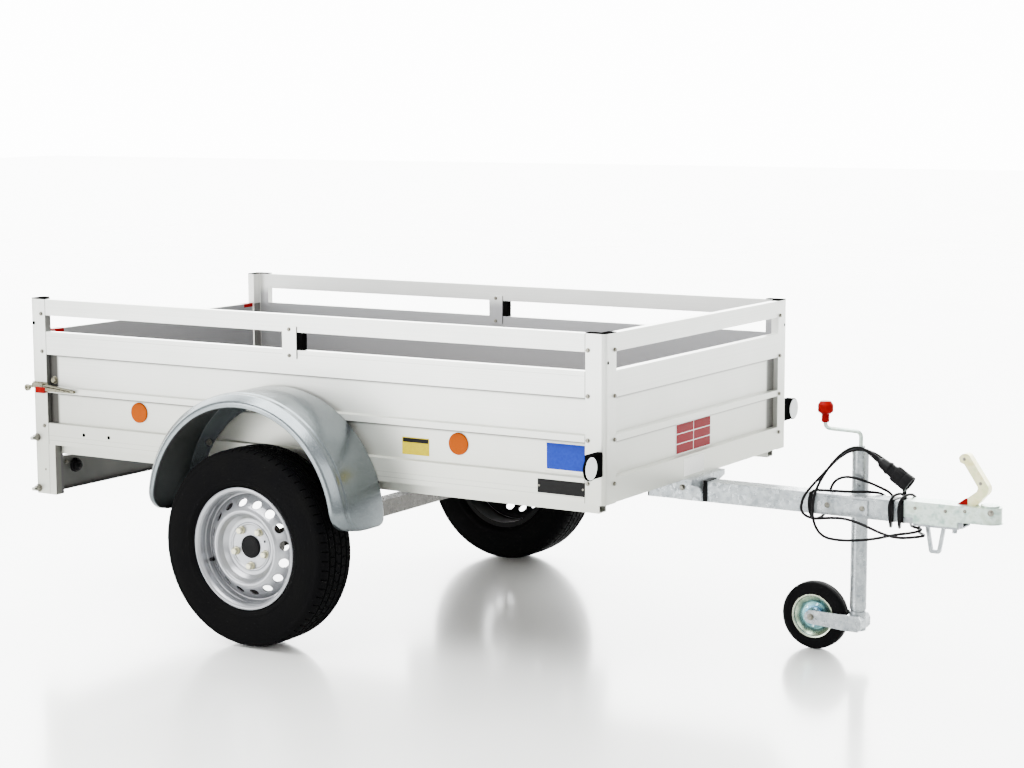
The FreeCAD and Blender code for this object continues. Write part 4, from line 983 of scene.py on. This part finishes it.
sheetSide = (-572, "XZ", -1)  # where a face lies, its plane, and the way out of it
bandSide = (-postFace, "XZ", -1)
sheetFront = (-15, "YZ", 1)
bandFront = (0, "YZ", 1)
blackFoil = foil("foil_black_printed", "0B0B0B", "060606")
redFoil = foil("foil_red_printed", "7E101B", "6C0A14")
whiteFoil = foil("foil_white_printed", "EDEDEA", "E2E2DE")
yellowFoil = foil("foil_yellow_printed", "B4A200", "A69400")
blueFoil = foil("foil_blue_printed", "173092", "122884")
blackPlate = foil("plate_black_anodised", "0E0E0E", "080808")
labels = {  # surface, face, two corners and how far it stands out
    "label_yellow": (yellowFoil, sheetSide, -679, 583, -585, 633.5, 0.5),
    "label_yellow_head": (blackFoil, sheetSide, -676, 619, -588, 631, 0.8),
    "label_blue_back": (whiteFoil, sheetSide, -196, 579, -68, 658.5, 0.5),
    "label_blue": (blueFoil, sheetSide, -193, 583, -71, 656, 0.8),
    "type_plate": (blackPlate, bandSide, -213.5, 516.5, -63, 556, 0.9),
    "label_red_back": (whiteFoil, sheetFront, -141, 572.5, 83, 664, 0.5),
    "label_white": (whiteFoil, bandFront, -117, 508, 11, 560, 0.5),
}
for row in range(3):  # six red fields between white lines
    for column in range(2):
        a, b = -138 + 111 * column, 575.5 + 29.3 * row
        labels["label_red_%d_%d" % (row, column)] = (redFoil, sheetFront, a, b, a + 107, b + 26.6, 0.9)


def makeLabels():
    for name, (surface, (level, plane, out), *corners, deep) in labels.items():
        made = bmesh.new()
        slab(made, oblong(*corners, 1.5), level + out * deep, level - out * 0.3, plane, steps=3)
        keep(name, made, surface)
    rivets = bmesh.new()
    for x in (-209, -68):
        fasten(rivets, rivet, (x, -587.6, 536.5), inwards, 0.9)
    keep("type_plate_rivets", rivets, boltZinc)


makeSideLamps()
makeLabels()
print("lamps and labels made")


# Tail lamps on the light bar
tailLamp = {"inner": 350, "outer": 500, "rear": -2083,
            "fields": [(redLens, 3, 62), (whiteLens, 63, 92), (amberLens, 93, 147)],
            "plug": [(0, 0), (23, 0), (23, 5, 1), (19, 7, 1), (18, 17, 2), (9, 19, 1), (8, 26, 1),
                     (0, 26)]}


def makeTailLamps():
    shell = bmesh.new()
    plugs = bmesh.new()
    screws = bmesh.new()
    back = tailLamp["rear"]
    for glass, start, stop in tailLamp["fields"]:
        made = bmesh.new()
        for sign in (-1, 1):
            a, b = sorted((sign * (tailLamp["inner"] + start), sign * (tailLamp["inner"] + stop)))
            slab(made, oblong(a, 359, b, 421, 4), back + 0.6, back + 10, "YZ")
        keep(glass.name + "_field", made, glass, soften=1.5)
    for sign in (-1, 1):
        a, b = sorted((sign * tailLamp["inner"], sign * tailLamp["outer"]))
        slab(shell, oblong(a + 1, 356, b - 1, 424, 6), back + 8, back + 28, "YZ")
        spin(plugs, tailLamp["plug"], at(lightBar, sign * 469, 415), Vector(forwards), 32)
        fasten(screws, hexBolt, (lightBar, sign * 510, 431), forwards)
    keep("tail_lamp_housings", shell, blackPlastic, soften=1, stands="tail_lamps")
    keep("lamp_connectors", plugs, blackPlastic)
    keep("lamp_screws", screws, boltZinc)


makeTailLamps()


# Jack: crank with bent corners, knob, wheel
jack = {
    "crank": [(469, 75, 605), (469, 75, 651), (358, 75, 654), (358, 75, 680)], "bend": 17,
    "knob": [(0, 671), (10, 671, 1), (11.4, 674, 1), (11.4, 694, 3), (21.5, 701, 4), (22.4, 704, 2),
             (22.4, 722, 6), (15, 733, 4), (0, 733)],
    "ridge": [(0, 703), (2, 703), (2, 722), (0, 725)], "ridges": 12, "ridgeReach": 20.4,
    "tread": [(65, -23), (67, -24.6, 1), (86, -24.8, 5), (98, -17, 8), (99.6, -9), (98.6, -8.6),
              (98.6, -7.4), (99.7, -7), (99.8, 7), (98.6, 7.4), (98.6, 8.6), (99.6, 9), (98, 17, 8),
              (86, 24.8, 5), (67, 24.6, 1), (65, 23)],
    "half": [(18, 28.6), (18, 15, 2), (24, 9, 3), (40, 7, 4), (50, 12, 4), (58, 17, 3), (60, 22.5, 1.5),
             (64.8, 23.6, 0.6), (64.8, 20)],
    "holes": 6, "holeCircle": 33, "nutReach": 37,
}


def makeCrank():
    points = [jack["crank"][0]]
    for k in (1, 2):
        here = Vector(jack["crank"][k])
        before = (Vector(jack["crank"][k - 1]) - here).normalized() * jack["bend"]
        after = (Vector(jack["crank"][k + 1]) - here).normalized() * jack["bend"]
        for step in range(9):
            points.append(here + before * (1 - step / 8) ** 2 + after * (step / 8) ** 2)
    points.append(jack["crank"][3])
    wire("crank_bent_bar", "POLY", points, 5.9, couplingZinc, "jack_post",
         "jack_crank")


def makeKnob():
    made = bmesh.new()
    centre = at(*jack["crank"][3][:2], 0)
    up = Vector((0, 0, 1))
    spin(made, jack["knob"], centre, up, 48)
    for k in range(jack["ridges"]):  # for the fingers
        out = outwards(up, 2 * pi * k / jack["ridges"])
        spin(made, jack["ridge"], centre + out * jack["ridgeReach"] * stepMm, up, 8)
    keep("knob_moulded", made, redPlastic, "jack_post", stands="jack_knob")


def makeJackWheel():
    axle = at(*jackAxle)
    across = Vector(sideways)
    tread = bmesh.new()
    spin(tread, jack["tread"], axle, across, 112, closed=True)
    keep("jack_tyre_solid", tread, smoothRubber, "jack_wheel", stands="jack_tyre")
    disc = bmesh.new()
    other = [(c[0], -c[1]) + tuple(c[2:]) for c in reversed(jack["half"])]
    section = [(6.8, 28.6)] + jack["half"] + other + [(6.8, -28.6)]
    spin(disc, section, axle, across, closed=True)
    plate = keep("jack_rim_pressed", disc, rainbowZinc, "jack_wheel",
                 stands="jack_rim")
    holes = bmesh.new()
    for k in range(jack["holes"]):
        spot = axle + spoke(2 * pi * k / jack["holes"] + radians(20)) * jack["holeCircle"] * stepMm
        spin(holes, [(0, -30), (4.5, -30), (4.5, 30), (0, 30)], spot, across, 16)
    carve(plate, holes)
    nuts = bmesh.new()
    x, y, z = jackAxle
    for sign in (-1, 1):
        fasten(nuts, hexBolt, (x, y + sign * jack["nutReach"], z), (0, sign, 0), 1.35)
    keep("jack_axle_nuts", nuts, boltZinc, "jack_swivel")


def makeIndicator():
    made = bmesh.new()
    slab(made, [(789.5, 486.4), (821.5, 486.4), (821.5, 503.5, 2), (812, 503.5, 3)], -7.5, 7.5)
    keep("indicator_wedge", made, redPlastic, soften=0.8, stands="coupling_indicator")


makeCrank()
makeKnob()
makeJackWheel()
makeIndicator()
print("jack and coupling made")


# Floor and light
def makeStage():
    # polished white screed: faint clouds and soft reflections
    made, tree, place = begin("studio_floor_glossy_white", coat=0.6, shine=1.0)
    cloud = pattern(tree, place, 900, 2)
    tone = add(tree, "ValToRGB", {"stops": {0.3: "DDDEDC", 0.7: "E1E2E0"}}, {0: cloud})
    finish(made, tone, (cloud, 0.2, 0.23))
    mesh = bpy.data.meshes.new("studio_floor")
    size = 40
    mesh.from_pydata([(-size, -size, 0), (size, -size, 0), (size, size, 0), (-size, size, 0)], [],
                     [(0, 1, 2, 3)])
    mesh.materials.append(made)
    ground = placed("studio_floor", mesh)
    ground.location.z = -0.0005


lamps = {  # place, aim, size and power
    "top_softbox": ((-0.6, -1.6, 4.4), (-0.3, -0.2, 0.4), 3.5, 620),
    "front_softbox": ((4.5, -4.5, 3.2), (0, 0, 0.5), 3, 150),
    "side_softbox": ((-4.6, -7.6, 1.9), (-0.5, -0.6, 0.8), 3.4, 470),
}
sky = {"towards": (-0.5, 0.8, 0.33), "fades": 0.36, "full": 0.84, "dim": 1.05, "bright": 15}


def makeLights():
    world = bpy.data.worlds.new("studio_sky")
    bpy.context.scene.world = world
    world.use_nodes = True
    tree = world.node_tree
    back = tree.nodes["Background"]
    back.inputs["Color"].default_value = linear("FAFBFA")
    facing = add(tree, "VectorMath", {"operation": "DOT_PRODUCT", 1: sky["towards"]},
                 {0: add(tree, "TexCoord", out="Generated")}, "Value")
    level = add(tree, "MapRange", ranged(sky["fades"], sky["full"], sky["dim"], sky["bright"]),
                {0: facing})
    tree.links.new(level, back.inputs["Strength"])
    for name, (place, aim, size, power) in lamps.items():
        light = bpy.data.lights.new(name, "AREA")
        light.shape = "SQUARE"
        light.size = size
        light.energy = power
        thing = placed(name, light)
        thing.location = place
        way = Vector(aim) - Vector(place)
        thing.rotation_euler = way.to_track_quat("-Z", "Y").to_euler()


makeStage()
makeLights()
bpy.context.view_layer.update()
print("stage made")
